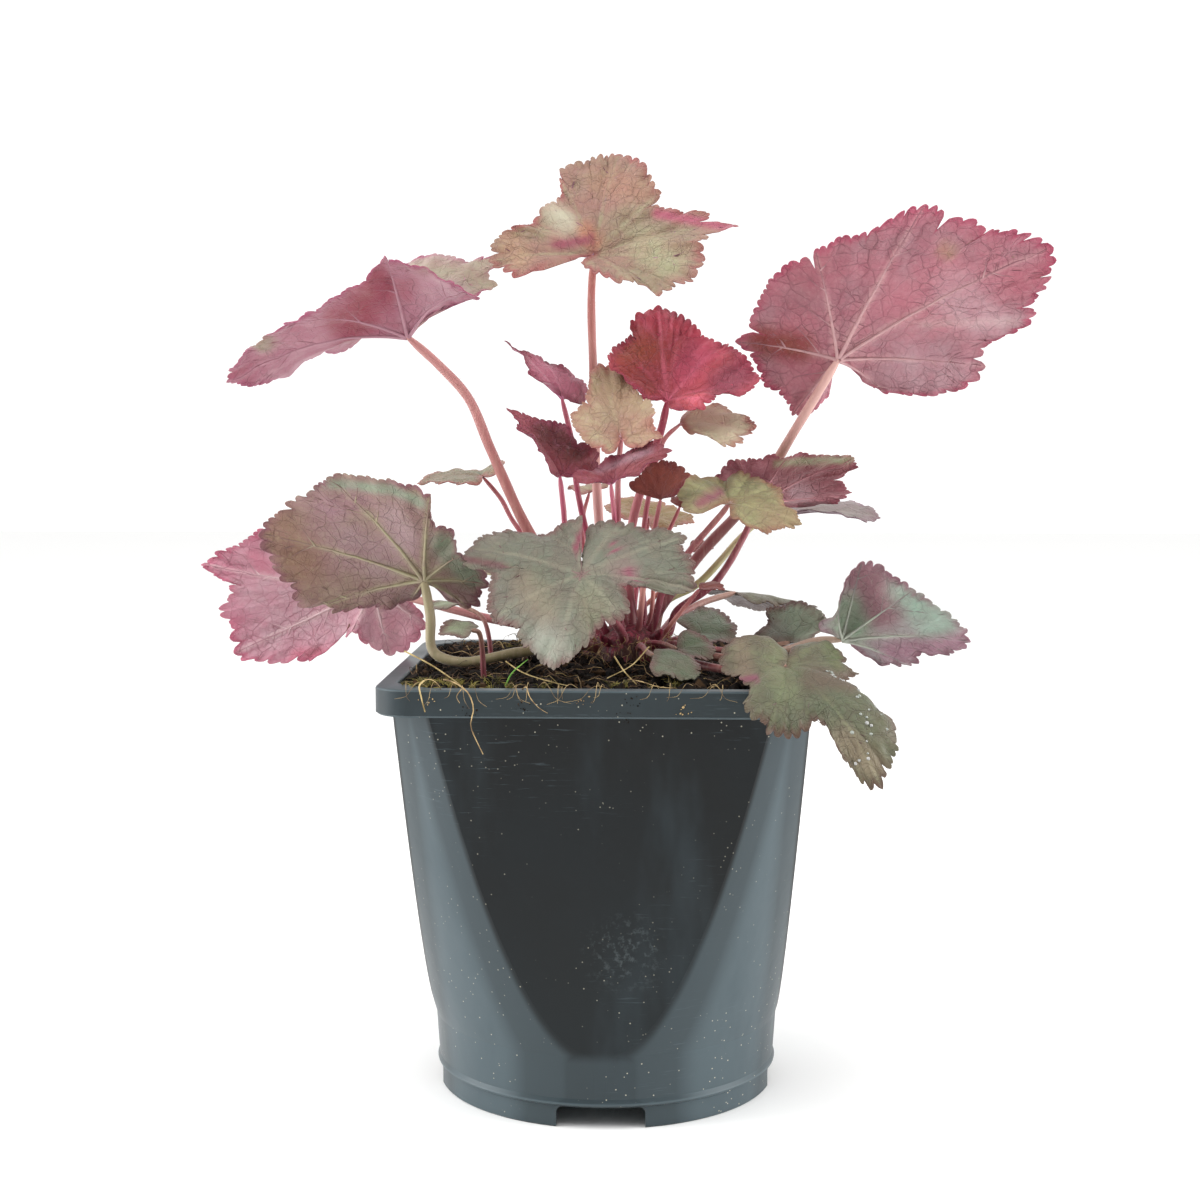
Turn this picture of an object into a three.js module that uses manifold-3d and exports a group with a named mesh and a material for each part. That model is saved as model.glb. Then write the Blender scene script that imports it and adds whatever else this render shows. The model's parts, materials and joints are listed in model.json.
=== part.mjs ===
// A heuchera (coral bells) growing in a square-to-round plastic nursery pot.
// Millimetres, +Z up. The plant stands on z = 0, with the origin under the middle of its whole outline.

import * as THREE from 'three';
import * as BufferGeometryUtils from 'three/addons/utils/BufferGeometryUtils.js';
import Module from 'manifold-3d';

const wasm = await Module();
wasm.setup();

// ---- Driving dimensions -------------------------------------------------------------------------

// The pot: a 13 cm nursery pot, square at the rim and round at the foot.
const POT_HEIGHT = 132;
const RIM_HALF_WIDTH = 65;
const RIM_CORNER_RADIUS = 11;
const RIM_HEIGHT = 8;
const WALL = 1.6;
const PANEL_HALF_WIDTH_TOP = 61; // from the axis to a flat panel, just under the rim
const PANEL_HALF_WIDTH_FOOT = 53; // the same, at the step ring
const PANEL_APEX_HEIGHT = 22; // where the flat panels run out
const PANEL_HALF_SPAN_TOP = 49; // half the width of a flat panel, just under the rim
const STEP_HEIGHT = 7.5;
const STEP_RADIUS = 53.7;
const FOOT_RADIUS = 52.7;
const FLOOR_BOTTOM = 7;
const FLOOR_TOP = 8.6;
const NOTCH_WIDTH = 26.4;
const NOTCH_HEIGHT = 6.4;
const NOTCH_CORNER = 2;
const DRAIN_RADIUS = 4;
const DRAIN_CIRCLE = 37;
const DRAIN_HOLES = 8;
const EDGE_BEVEL = 0.6;
const CORNER_SEGMENTS = 6; // facets round each corner of the pot

// The soil, a low mound with crumbs.
const SOIL_EDGE_HEIGHT = 130.6;
const SOIL_MOUND = 4.6;
const SOIL_MOUND_CENTRE = [2, 10];
const SOIL_MOUND_SPREAD = 27;
const CRUMB_HEIGHT = 0.5;
const SOIL_RINGS = [1, 0.84, 0.68, 0.52, 0.36, 0.18]; // shares of the way from the middle to the wall
const HOLE_DEPTH = 4; // how far a stem with its own hole goes into the soil
const GAP = 0.3; // between pieces that touch

// The crown, the fleshy stock that every leaf grows from.
const CROWN_CENTRE = [7, -2];
const CROWN_RADIUS = 14;
const CROWN_SHOULDER = 133; // height of its widest level
const CROWN_RISE = 12;
const CROWN_DEPTH = 8;
const CROWN_BASE_SHARE = 0.6; // its underside, as a share of its radius
const BUD_RADIUS = 2.1;
const BUDS = [
  // buds and old leaf bases: bearing, reach, length
  [238, 0.84, 9],
  [322, 0.76, 8],
  [120, 0.86, 8],
  [200, 0.84, 7],
];

// The leaves.
const BLADE_THICKNESS = 0.7;
const TOOTH = 0.8; // height of a tooth on a large blade
const TOOTH_SHARE = 0.03; // the same on a small blade, as a share of its reach
const LOBE_ROUND = 0.94; // how round a lobe's end is, up to 1
const SIDE_LOBE = 0.3; // how far the edge turns on past the first and last vein, in radians
const VEIN_ARCH = 0.05; // rise of a vein over its chord
const WEB_PUFF = 0.008; // rise of the web between two veins
const WIDE_SECTOR = 24; // between veins farther apart than this, the edge has three teeth
const NARROW_SECTOR = 9; // between veins nearer than this, it only has a notch
const LARGE_BLADE = 38; // blades that reach farther than this have a finer web
const WEB_RINGS = { large: [0.36, 0.7], small: [0.55] }; // shares of the way from the stem to the edge
const SIDE_LOBE_SPOKES = [
  // how a lobe beside the stem closes: share of its turn, share of its vein's length
  [0.4, 0.9],
  [0.8, 0.66],
  [1, 0.3],
];
const STEM_STEP = 11; // between two sections of a stem
const STEM_POINT_RADIUS = 0.25; // where a stem ends in the blade
const STEM_FOOT_RISE = 2.5; // a stem's first stretch, straight out of the crown
const SLIM_STEM = 1.3; // stems of up to this radius have five sides, the others six

// ---- Materials ----------------------------------------------------------------------------------

const finish = (name, colour, roughness) =>
  new THREE.MeshStandardMaterial({ name, color: colour, roughness, metalness: 0 });

const potPlastic = () => finish('pot_plastic', 0x28323a, 0.42);
const peat = () => finish('peat', 0x1f1a16, 0.95);
const crownFlesh = () => finish('crown_flesh', 0x8a1f3a, 0.6);
const leafFinishes = {
  olive: () => finish('leaf_olive', 0x9a8f6c, 0.6),
  green: () => finish('leaf_green', 0x7c8f7c, 0.6),
  mauve: () => finish('leaf_mauve', 0xb5697f, 0.65),
  crimson: () => finish('leaf_crimson', 0x9c2f45, 0.55),
};

// ---- Solids -------------------------------------------------------------------------------------

// A closed geometry with its shared corners merged.
function weld(geometry) {
  geometry.deleteAttribute('normal');
  geometry.deleteAttribute('uv');
  return BufferGeometryUtils.mergeVertices(geometry, 1e-4);
}

function toSolid(geometry) {
  const welded = weld(geometry);
  return new wasm.Manifold(
    new wasm.Mesh({
      numProp: 3,
      vertProperties: new Float32Array(welded.attributes.position.array),
      triVerts: new Uint32Array(welded.index.array),
    }),
  );
}

function toGeometry(solid) {
  const mesh = solid.getMesh();
  const geometry = new THREE.BufferGeometry();
  geometry.setAttribute('position', new THREE.BufferAttribute(mesh.vertProperties, 3));
  geometry.setIndex(new THREE.BufferAttribute(mesh.triVerts, 1));
  geometry.computeVertexNormals();
  return geometry;
}

// A closed body through stacked rings of points, all with the same count, capped by fans at both ends.
function loft(rings, capCentres) {
  const count = rings[0].length;
  const points = [...rings.flat(), ...capCentres];
  const index = [];
  for (let level = 0; level + 1 < rings.length; level++) {
    for (let i = 0; i < count; i++) {
      const a = level * count + i;
      const b = level * count + ((i + 1) % count);
      index.push(a, b, b + count, a, b + count, a + count);
    }
  }
  const last = (rings.length - 1) * count;
  const [bottom, top] = [rings.length * count, rings.length * count + 1];
  for (let i = 0; i < count; i++) {
    const next = (i + 1) % count;
    index.push(bottom, next, i, top, last + i, last + next);
  }
  return new THREE.BufferGeometry().setFromPoints(points).setIndex(index);
}

function namedMesh(name, geometry, material) {
  const mesh = new THREE.Mesh(geometry, material);
  mesh.name = name;
  return mesh;
}

// ---- Pot ----------------------------------------------------------------------------------------

// From the axis to a flat panel.
function panelDistance(z) {
  const share = (z - STEP_HEIGHT) / (POT_HEIGHT - RIM_HEIGHT - STEP_HEIGHT);
  return PANEL_HALF_WIDTH_FOOT + (PANEL_HALF_WIDTH_TOP - PANEL_HALF_WIDTH_FOOT) * share;
}

// Half the width of a flat panel: a parabola that closes at the panel's apex.
function panelHalfSpan(z) {
  const share = (z - PANEL_APEX_HEIGHT) / (POT_HEIGHT - RIM_HEIGHT - PANEL_APEX_HEIGHT);
  return PANEL_HALF_SPAN_TOP * Math.sqrt(Math.max(share, 0.002));
}

// One level of the pot: four flats joined by arcs about the axis.
function potRing(z, inset) {
  const flat = panelDistance(z) - inset;
  const span = panelHalfSpan(z);
  const radius = Math.hypot(flat, span);
  const edge = Math.atan2(span, flat);
  const ring = [];
  for (let side = 0; side < 4; side++) {
    for (let i = 0; i <= CORNER_SEGMENTS; i++) {
      const angle = edge + (Math.PI / 2 - 2 * edge) * (i / CORNER_SEGMENTS) + (side * Math.PI) / 2;
      ring.push(new THREE.Vector3(radius * Math.cos(angle), radius * Math.sin(angle), z));
    }
  }
  return ring;
}

// A round level with the same count of points.
function roundRing(z, radius) {
  const edge = Math.atan2(panelHalfSpan(0), PANEL_HALF_WIDTH_FOOT);
  const ring = [];
  for (let side = 0; side < 4; side++) {
    for (let i = 0; i <= CORNER_SEGMENTS; i++) {
      const angle = edge + (Math.PI / 2 - 2 * edge) * (i / CORNER_SEGMENTS) + (side * Math.PI) / 2;
      ring.push(new THREE.Vector3(radius * Math.cos(angle), radius * Math.sin(angle), z));
    }
  }
  return ring;
}

// A level of the rim: a square with rounded corners.
function rimRing(z, halfWidth, cornerRadius) {
  const centre = halfWidth - cornerRadius;
  const ring = [];
  for (let side = 0; side < 4; side++) {
    const turn = (side * Math.PI) / 2;
    for (let i = 0; i <= CORNER_SEGMENTS; i++) {
      const angle = ((Math.PI / 2) * i) / CORNER_SEGMENTS;
      const point = new THREE.Vector3(
        centre + cornerRadius * Math.cos(angle),
        centre + cornerRadius * Math.sin(angle),
        z,
      );
      ring.push(point.applyAxisAngle(new THREE.Vector3(0, 0, 1), turn));
    }
  }
  return ring;
}

const BODY_LEVELS = [STEP_HEIGHT + 1.5, 15, PANEL_APEX_HEIGHT, 32, 46, 66, 92, POT_HEIGHT - RIM_HEIGHT];
const axisPoint = (z) => new THREE.Vector3(0, 0, z);

function potOutside() {
  const rim = POT_HEIGHT - RIM_HEIGHT;
  const rings = [
    roundRing(0, FOOT_RADIUS),
    roundRing(STEP_HEIGHT - 1, FOOT_RADIUS),
    roundRing(STEP_HEIGHT, STEP_RADIUS),
    ...BODY_LEVELS.map((z) => potRing(z, 0)),
    rimRing(rim, RIM_HALF_WIDTH - EDGE_BEVEL, RIM_CORNER_RADIUS),
    rimRing(rim + EDGE_BEVEL, RIM_HALF_WIDTH, RIM_CORNER_RADIUS),
    rimRing(POT_HEIGHT - EDGE_BEVEL, RIM_HALF_WIDTH, RIM_CORNER_RADIUS),
    rimRing(POT_HEIGHT, RIM_HALF_WIDTH - EDGE_BEVEL, RIM_CORNER_RADIUS),
  ];
  return loft(rings, [axisPoint(0), axisPoint(POT_HEIGHT)]);
}

// The room inside the pot, less `clearance` all round; the soil fills it.
function potRoom(bottom, clearance) {
  const inset = WALL + clearance;
  const levels = [bottom, ...BODY_LEVELS.slice(1)];
  return levels.map((z) => potRing(z, inset));
}

function potInside() {
  const rings = potRoom(FLOOR_TOP, 0);
  const top = rings[rings.length - 1].map((p) => p.clone().setZ(POT_HEIGHT + 1));
  return loft([...rings, top], [axisPoint(FLOOR_TOP), axisPoint(POT_HEIGHT + 1)]);
}

// An opening in the foot, with rounded upper corners, cut right through from one side to the other.
function footNotch() {
  const half = NOTCH_WIDTH / 2;
  const corner = NOTCH_CORNER;
  const outline = new THREE.Shape();
  outline.moveTo(-half, -1);
  outline.lineTo(half, -1);
  outline.lineTo(half, NOTCH_HEIGHT - corner);
  outline.quadraticCurveTo(half, NOTCH_HEIGHT, half - corner, NOTCH_HEIGHT);
  outline.lineTo(-half + corner, NOTCH_HEIGHT);
  outline.quadraticCurveTo(-half, NOTCH_HEIGHT, -half, NOTCH_HEIGHT - corner);
  const length = 4 * FOOT_RADIUS;
  const settings = { depth: length, bevelEnabled: false, curveSegments: 3 };
  const notch = new THREE.ExtrudeGeometry(outline, settings);
  return notch.translate(0, 0, -length / 2).rotateX(Math.PI / 2);
}

function pot() {
  let solid = toSolid(potOutside()).subtract(toSolid(potInside()));
  const inside = FOOT_RADIUS - WALL;
  const underFloor = new THREE.CylinderGeometry(inside, inside, FLOOR_BOTTOM + 1, 40);
  underFloor.rotateX(Math.PI / 2).translate(0, 0, (FLOOR_BOTTOM - 1) / 2);
  solid = solid.subtract(toSolid(underFloor));
  solid = solid.subtract(toSolid(footNotch())).subtract(toSolid(footNotch().rotateZ(Math.PI / 2)));
  for (let i = 0; i < DRAIN_HOLES; i++) {
    const angle = ((i + 0.5) * 2 * Math.PI) / DRAIN_HOLES;
    const drain = new THREE.CylinderGeometry(DRAIN_RADIUS, DRAIN_RADIUS, 6, 8).rotateX(Math.PI / 2);
    drain.translate(DRAIN_CIRCLE * Math.cos(angle), DRAIN_CIRCLE * Math.sin(angle), FLOOR_TOP);
    solid = solid.subtract(toSolid(drain));
  }
  return namedMesh('pot', toGeometry(solid), potPlastic());
}

// ---- Crown --------------------------------------------------------------------------------------

// The crown's profile, turned about its own axis, grown by `clearance`.
function crownBody(clearance) {
  const radius = CROWN_RADIUS + clearance;
  const points = [
    new THREE.Vector2(0, CROWN_SHOULDER - CROWN_DEPTH - clearance),
    new THREE.Vector2(radius * CROWN_BASE_SHARE, CROWN_SHOULDER - CROWN_DEPTH - clearance),
  ];
  const steps = 6;
  for (let i = 0; i <= steps; i++) {
    const angle = (i / steps) * (Math.PI / 2);
    const rise = (CROWN_RISE + clearance) * Math.sin(angle);
    points.push(new THREE.Vector2(i === steps ? 0 : radius * Math.cos(angle), CROWN_SHOULDER + rise));
  }
  const body = new THREE.LatheGeometry(points, 20).rotateX(Math.PI / 2);
  return body.translate(CROWN_CENTRE[0], CROWN_CENTRE[1], 0);
}

// A point on the crown and the direction out of it, by bearing (0 is +X, 90 is +Y) and reach from 0 to 1.
function crownPoint(bearing, reach) {
  const angle = THREE.MathUtils.degToRad(bearing);
  const radius = CROWN_RADIUS * reach;
  const up = Math.sqrt(1 - reach * reach);
  const point = new THREE.Vector3(
    CROWN_CENTRE[0] + radius * Math.cos(angle),
    CROWN_CENTRE[1] + radius * Math.sin(angle),
    CROWN_SHOULDER + CROWN_RISE * up,
  );
  const out = new THREE.Vector3(
    (reach / CROWN_RADIUS) * Math.cos(angle),
    (reach / CROWN_RADIUS) * Math.sin(angle),
    up / CROWN_RISE,
  ).normalize();
  return { point, out };
}

function crown() {
  let solid = toSolid(crownBody(0));
  for (const [bearing, reach, length] of BUDS) {
    const { point, out } = crownPoint(bearing, reach);
    const bud = new THREE.SphereGeometry(BUD_RADIUS, 6, 5).scale(1, 1, length / (2 * BUD_RADIUS));
    bud.applyQuaternion(new THREE.Quaternion().setFromUnitVectors(new THREE.Vector3(0, 0, 1), out));
    bud.translate(point.x, point.y, point.z);
    solid = solid.add(toSolid(bud));
  }
  return namedMesh('crown', toGeometry(solid), crownFlesh());
}

// ---- Soil ---------------------------------------------------------------------------------------

// Crumbs: a few waves of unlike length and direction.
function crumbs(x, y) {
  return (
    Math.sin(0.31 * x + 0.17 * y) * Math.cos(0.23 * y - 0.11 * x) +
    0.7 * Math.sin(0.53 * y + 0.2 * x + 1.3) * Math.sin(0.47 * x - 0.35 * y)
  );
}

function soilHeight(x, y) {
  const dx = x - SOIL_MOUND_CENTRE[0];
  const dy = y - SOIL_MOUND_CENTRE[1];
  const mound = Math.exp(-(dx * dx + dy * dy) / (2 * SOIL_MOUND_SPREAD ** 2));
  return SOIL_EDGE_HEIGHT + SOIL_MOUND * mound + CRUMB_HEIGHT * crumbs(x, y);
}

const soilPoint = (x, y) => new THREE.Vector3(x, y, soilHeight(x, y));

// A plain hole for a stem, as wide as the stem and its clearance.
function stemHole(leaf) {
  const radius = leaf.thick[0] + GAP + 0.1;
  const length = 4 * HOLE_DEPTH;
  const bottom = soilHeight(...leaf.hole) - HOLE_DEPTH - GAP;
  const hole = new THREE.CylinderGeometry(radius, radius, length, 8).rotateX(Math.PI / 2);
  return hole.translate(leaf.hole[0], leaf.hole[1], bottom + length / 2);
}

function soil() {
  const sides = potRoom(FLOOR_TOP + GAP, GAP);
  const brim = sides[sides.length - 1];
  const surface = SOIL_RINGS.map((share) => brim.map((p) => soilPoint(p.x * share, p.y * share)));
  const centres = [axisPoint(FLOOR_TOP + GAP), axisPoint(soilHeight(0, 0))];
  let solid = toSolid(loft([...sides, ...surface], centres)).subtract(toSolid(crownBody(GAP)));
  for (const leaf of leaves.filter((one) => one.hole)) solid = solid.subtract(toSolid(stemHole(leaf)));
  return namedMesh('soil', toGeometry(solid), peat());
}

// ---- Leaves -------------------------------------------------------------------------------------

// Where the edge is marked between two veins (0 on one vein, 1 on the next): the rounded teeth and
// the notches between them. The web inside the edge is marked only at `true`.
const EDGE_MARKS = {
  notched: [[0, true], [0.5, false]],
  plain: [[0, true], [0.3, false], [0.5, true], [0.7, false]],
  toothed: [
    [0, true], [0.12, false], [0.17, false], [0.25, true], [0.43, false],
    [0.5, true], [0.57, false], [0.75, true], [0.83, false], [0.88, false],
  ],
};

function edgeMarks(apart) {
  if (apart > WIDE_SECTOR) return EDGE_MARKS.toothed;
  return apart > NARROW_SECTOR ? EDGE_MARKS.plain : EDGE_MARKS.notched;
}

// A round lobe: 0 at its tip and 1 at the sharp notch on either side, `count` times from 0 to 1.
function lobe(t, count) {
  const away = Math.acos(Math.abs(Math.cos(Math.PI * count * t))) / (Math.PI / 2);
  return (1 - Math.sqrt(1 - LOBE_ROUND * away * away)) / (1 - Math.sqrt(1 - LOBE_ROUND));
}

// How far the edge reaches between two veins: lobes with a notch between them, and teeth.
function edgeReach(length, t, teeth, cut) {
  return length * (1 - cut * lobe(t, 1)) - Math.min(TOOTH, TOOTH_SHARE * length) * lobe(t, teeth);
}

// One direction turned towards another, by the share t.
function turnTowards(from, to, t) {
  const angle = from.angleTo(to);
  if (angle < 1e-4) return from.clone();
  const axis = new THREE.Vector3().crossVectors(from, to).normalize();
  return from.clone().applyAxisAngle(axis, angle * t);
}

// The spokes of a blade, from one side of the gap at its stem round to the other.
function bladeSpokes(leaf, joint) {
  const arms = leaf.tips.map(([x, y, z]) => new THREE.Vector3(x, y, z).sub(joint));
  const across = arms.slice(1).map((arm, i) => new THREE.Vector3().crossVectors(arms[i], arm).normalize());
  const normals = arms.map((arm, i) => {
    const normal = (across[i - 1] ?? across[i]).clone().add(across[i] ?? across[i - 1]);
    return normal.normalize();
  });
  const spokes = [];
  const addSpoke = (direction, smooth, edge, normal, vein, web) =>
    spokes.push({ direction, smooth, edge, normal, vein, web });
  const sideLobe = (i, sign) => {
    const direction = arms[i].clone().normalize();
    const length = arms[i].length();
    return SIDE_LOBE_SPOKES.map(([turn, share]) => {
      const turned = direction.clone().applyAxisAngle(normals[i], sign * turn * (leaf.lap ?? SIDE_LOBE));
      return [turned, length * share, length * share, normals[i], 1, false];
    });
  };
  for (const spoke of sideLobe(0, -1).reverse()) addSpoke(...spoke);
  for (let i = 0; i + 1 < arms.length; i++) {
    const apart = arms[i].distanceTo(arms[i + 1]);
    const teeth = apart > WIDE_SECTOR ? 3 : 1;
    const from = arms[i].clone().normalize();
    const to = arms[i + 1].clone().normalize();
    for (const [t, web] of edgeMarks(apart)) {
      const length = THREE.MathUtils.lerp(arms[i].length(), arms[i + 1].length(), t);
      const vein = Math.cos(2 * Math.PI * t);
      const normal = normals[i].clone().lerp(normals[i + 1], t).normalize();
      const edge = edgeReach(length, t, teeth, leaf.tips[i][3]);
      addSpoke(turnTowards(from, to, t), length, edge, normal, vein, web);
    }
  }
  const last = arms.length - 1;
  const end = arms[last];
  addSpoke(end.clone().normalize(), end.length(), end.length(), normals[last], 1, true);
  for (const spoke of sideLobe(last, 1)) addSpoke(...spoke);
  return spokes;
}

// A point of the blade's middle surface, on a spoke, at a share of its way from the stem to the edge.
function bladePoint(leaf, joint, spoke, share) {
  const reach = share * THREE.MathUtils.lerp(spoke.smooth, spoke.edge, share * share);
  const arch = (leaf.arch ?? VEIN_ARCH) * 4 * share * (1 - share);
  const puff = WEB_PUFF * (1 - spoke.vein) * share;
  const lift = spoke.smooth * (arch + puff);
  return joint.clone().addScaledVector(spoke.direction, reach).addScaledVector(spoke.normal, lift);
}

// The blade: its middle surface in rings round the stem, thickened alike on both faces.
function blade(leaf, joint) {
  const spokes = bladeSpokes(leaf, joint);
  const webbed = spokes.map((spoke, i) => i).filter((i) => spokes[i].web);
  const every = spokes.map((spoke, i) => i);
  const farthest = Math.max(...spokes.map((spoke) => spoke.smooth));
  const shares = farthest > LARGE_BLADE ? WEB_RINGS.large : WEB_RINGS.small;
  const points = [joint.clone()];
  const rows = [];
  for (const share of [...shares, 1]) {
    const row = (share === 1 ? every : webbed).map((i) => {
      points.push(bladePoint(leaf, joint, spokes[i], share));
      return { spoke: i, point: points.length - 1 };
    });
    rows.push(row);
  }
  const faces = [];
  for (let i = 0; i + 1 < rows[0].length; i++) faces.push([0, rows[0][i].point, rows[0][i + 1].point]);
  for (let r = 0; r + 1 < rows.length; r++) faces.push(...stitch(rows[r], rows[r + 1]));
  const inner = rows.slice(0, -1);
  const start = inner.map((row) => row[0].point);
  const end = inner.map((row) => row[row.length - 1].point).reverse();
  const edge = rows[rows.length - 1].map((one) => one.point);
  return thicken(points, faces, [0, ...start, ...edge, ...end], BLADE_THICKNESS);
}

// Triangles between two rows of points, where the outer row has more of them than the inner one.
function stitch(inner, outer) {
  const faces = [];
  let at = 0;
  const fan = (hub, until) => {
    while (at + 1 < outer.length && outer[at + 1].spoke <= until) {
      faces.push([hub, outer[at].point, outer[at + 1].point]);
      at += 1;
    }
  };
  fan(inner[0].point, inner[0].spoke);
  for (let i = 0; i + 1 < inner.length; i++) {
    const middle = (inner[i].spoke + inner[i + 1].spoke) / 2;
    fan(inner[i].point, middle);
    faces.push([inner[i].point, outer[at].point, inner[i + 1].point]);
    fan(inner[i + 1].point, inner[i + 1].spoke);
  }
  fan(inner[inner.length - 1].point, Infinity);
  return faces;
}

// Two skins either side of a surface, and a wall along its outline.
function thicken(points, faces, outline, thickness) {
  const normals = points.map(() => new THREE.Vector3());
  for (const [a, b, c] of faces) {
    const edge = points[b].clone().sub(points[a]);
    const cross = edge.cross(points[c].clone().sub(points[a]));
    for (const corner of [a, b, c]) normals[corner].add(cross);
  }
  normals.forEach((normal) => normal.normalize());
  const upper = points.map((p, i) => p.clone().addScaledVector(normals[i], thickness / 2));
  const lower = points.map((p, i) => p.clone().addScaledVector(normals[i], -thickness / 2));
  const under = points.length;
  const index = [];
  for (const [a, b, c] of faces) index.push(a, b, c, under + a, under + c, under + b);
  outline.forEach((a, i) => {
    const b = outline[(i + 1) % outline.length];
    index.push(a, under + a, under + b, a, under + b, b);
  });
  return new THREE.BufferGeometry().setFromPoints([...upper, ...lower]).setIndex(index);
}

// A stem: a tube along a smooth path that thins from its foot to the blade.
function stem(path, [footRadius, endRadius]) {
  const curve = new THREE.CatmullRomCurve3(path, false, 'centripetal');
  const steps = Math.max(3, Math.round(curve.getLength() / STEM_STEP));
  const sides = footRadius > SLIM_STEM ? 6 : 5;
  const frames = curve.computeFrenetFrames(steps, false);
  const rings = [];
  for (let i = 0; i <= steps; i++) {
    const centre = curve.getPointAt(i / steps);
    const radius = i === steps ? STEM_POINT_RADIUS : THREE.MathUtils.lerp(footRadius, endRadius, i / steps);
    rings.push(
      Array.from({ length: sides }, (_, k) => {
        const angle = (k / sides) * 2 * Math.PI;
        return centre
          .clone()
          .addScaledVector(frames.normals[i], radius * Math.cos(angle))
          .addScaledVector(frames.binormals[i], radius * Math.sin(angle));
      }),
    );
  }
  return loft(rings, [curve.getPointAt(0), curve.getPointAt(1)]);
}

// Where a leaf's stem starts: just clear of the crown, or in a plain hole in the soil.
function stemStart(leaf) {
  if (leaf.hole) {
    const [x, y] = leaf.hole;
    const bottom = new THREE.Vector3(x, y, soilHeight(x, y) - HOLE_DEPTH);
    return [bottom, bottom.clone().setZ(bottom.z + HOLE_DEPTH + STEM_FOOT_RISE / 2)];
  }
  const { point, out } = crownPoint(...leaf.foot);
  const start = point.clone().addScaledVector(out, GAP + 0.05);
  return [start, point.clone().addScaledVector(out, STEM_FOOT_RISE)];
}

function leafMesh(leaf) {
  const joint = new THREE.Vector3(...leaf.joint);
  const bends = leaf.stem.map((bend) => new THREE.Vector3(...bend));
  const path = [...stemStart(leaf), ...bends, joint];
  const solid = toSolid(blade(leaf, joint)).add(toSolid(stem(path, leaf.thick)));
  return namedMesh(`leaf_${leaf.name}`, toGeometry(solid), leafFinishes[leaf.finish]());
}

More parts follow.
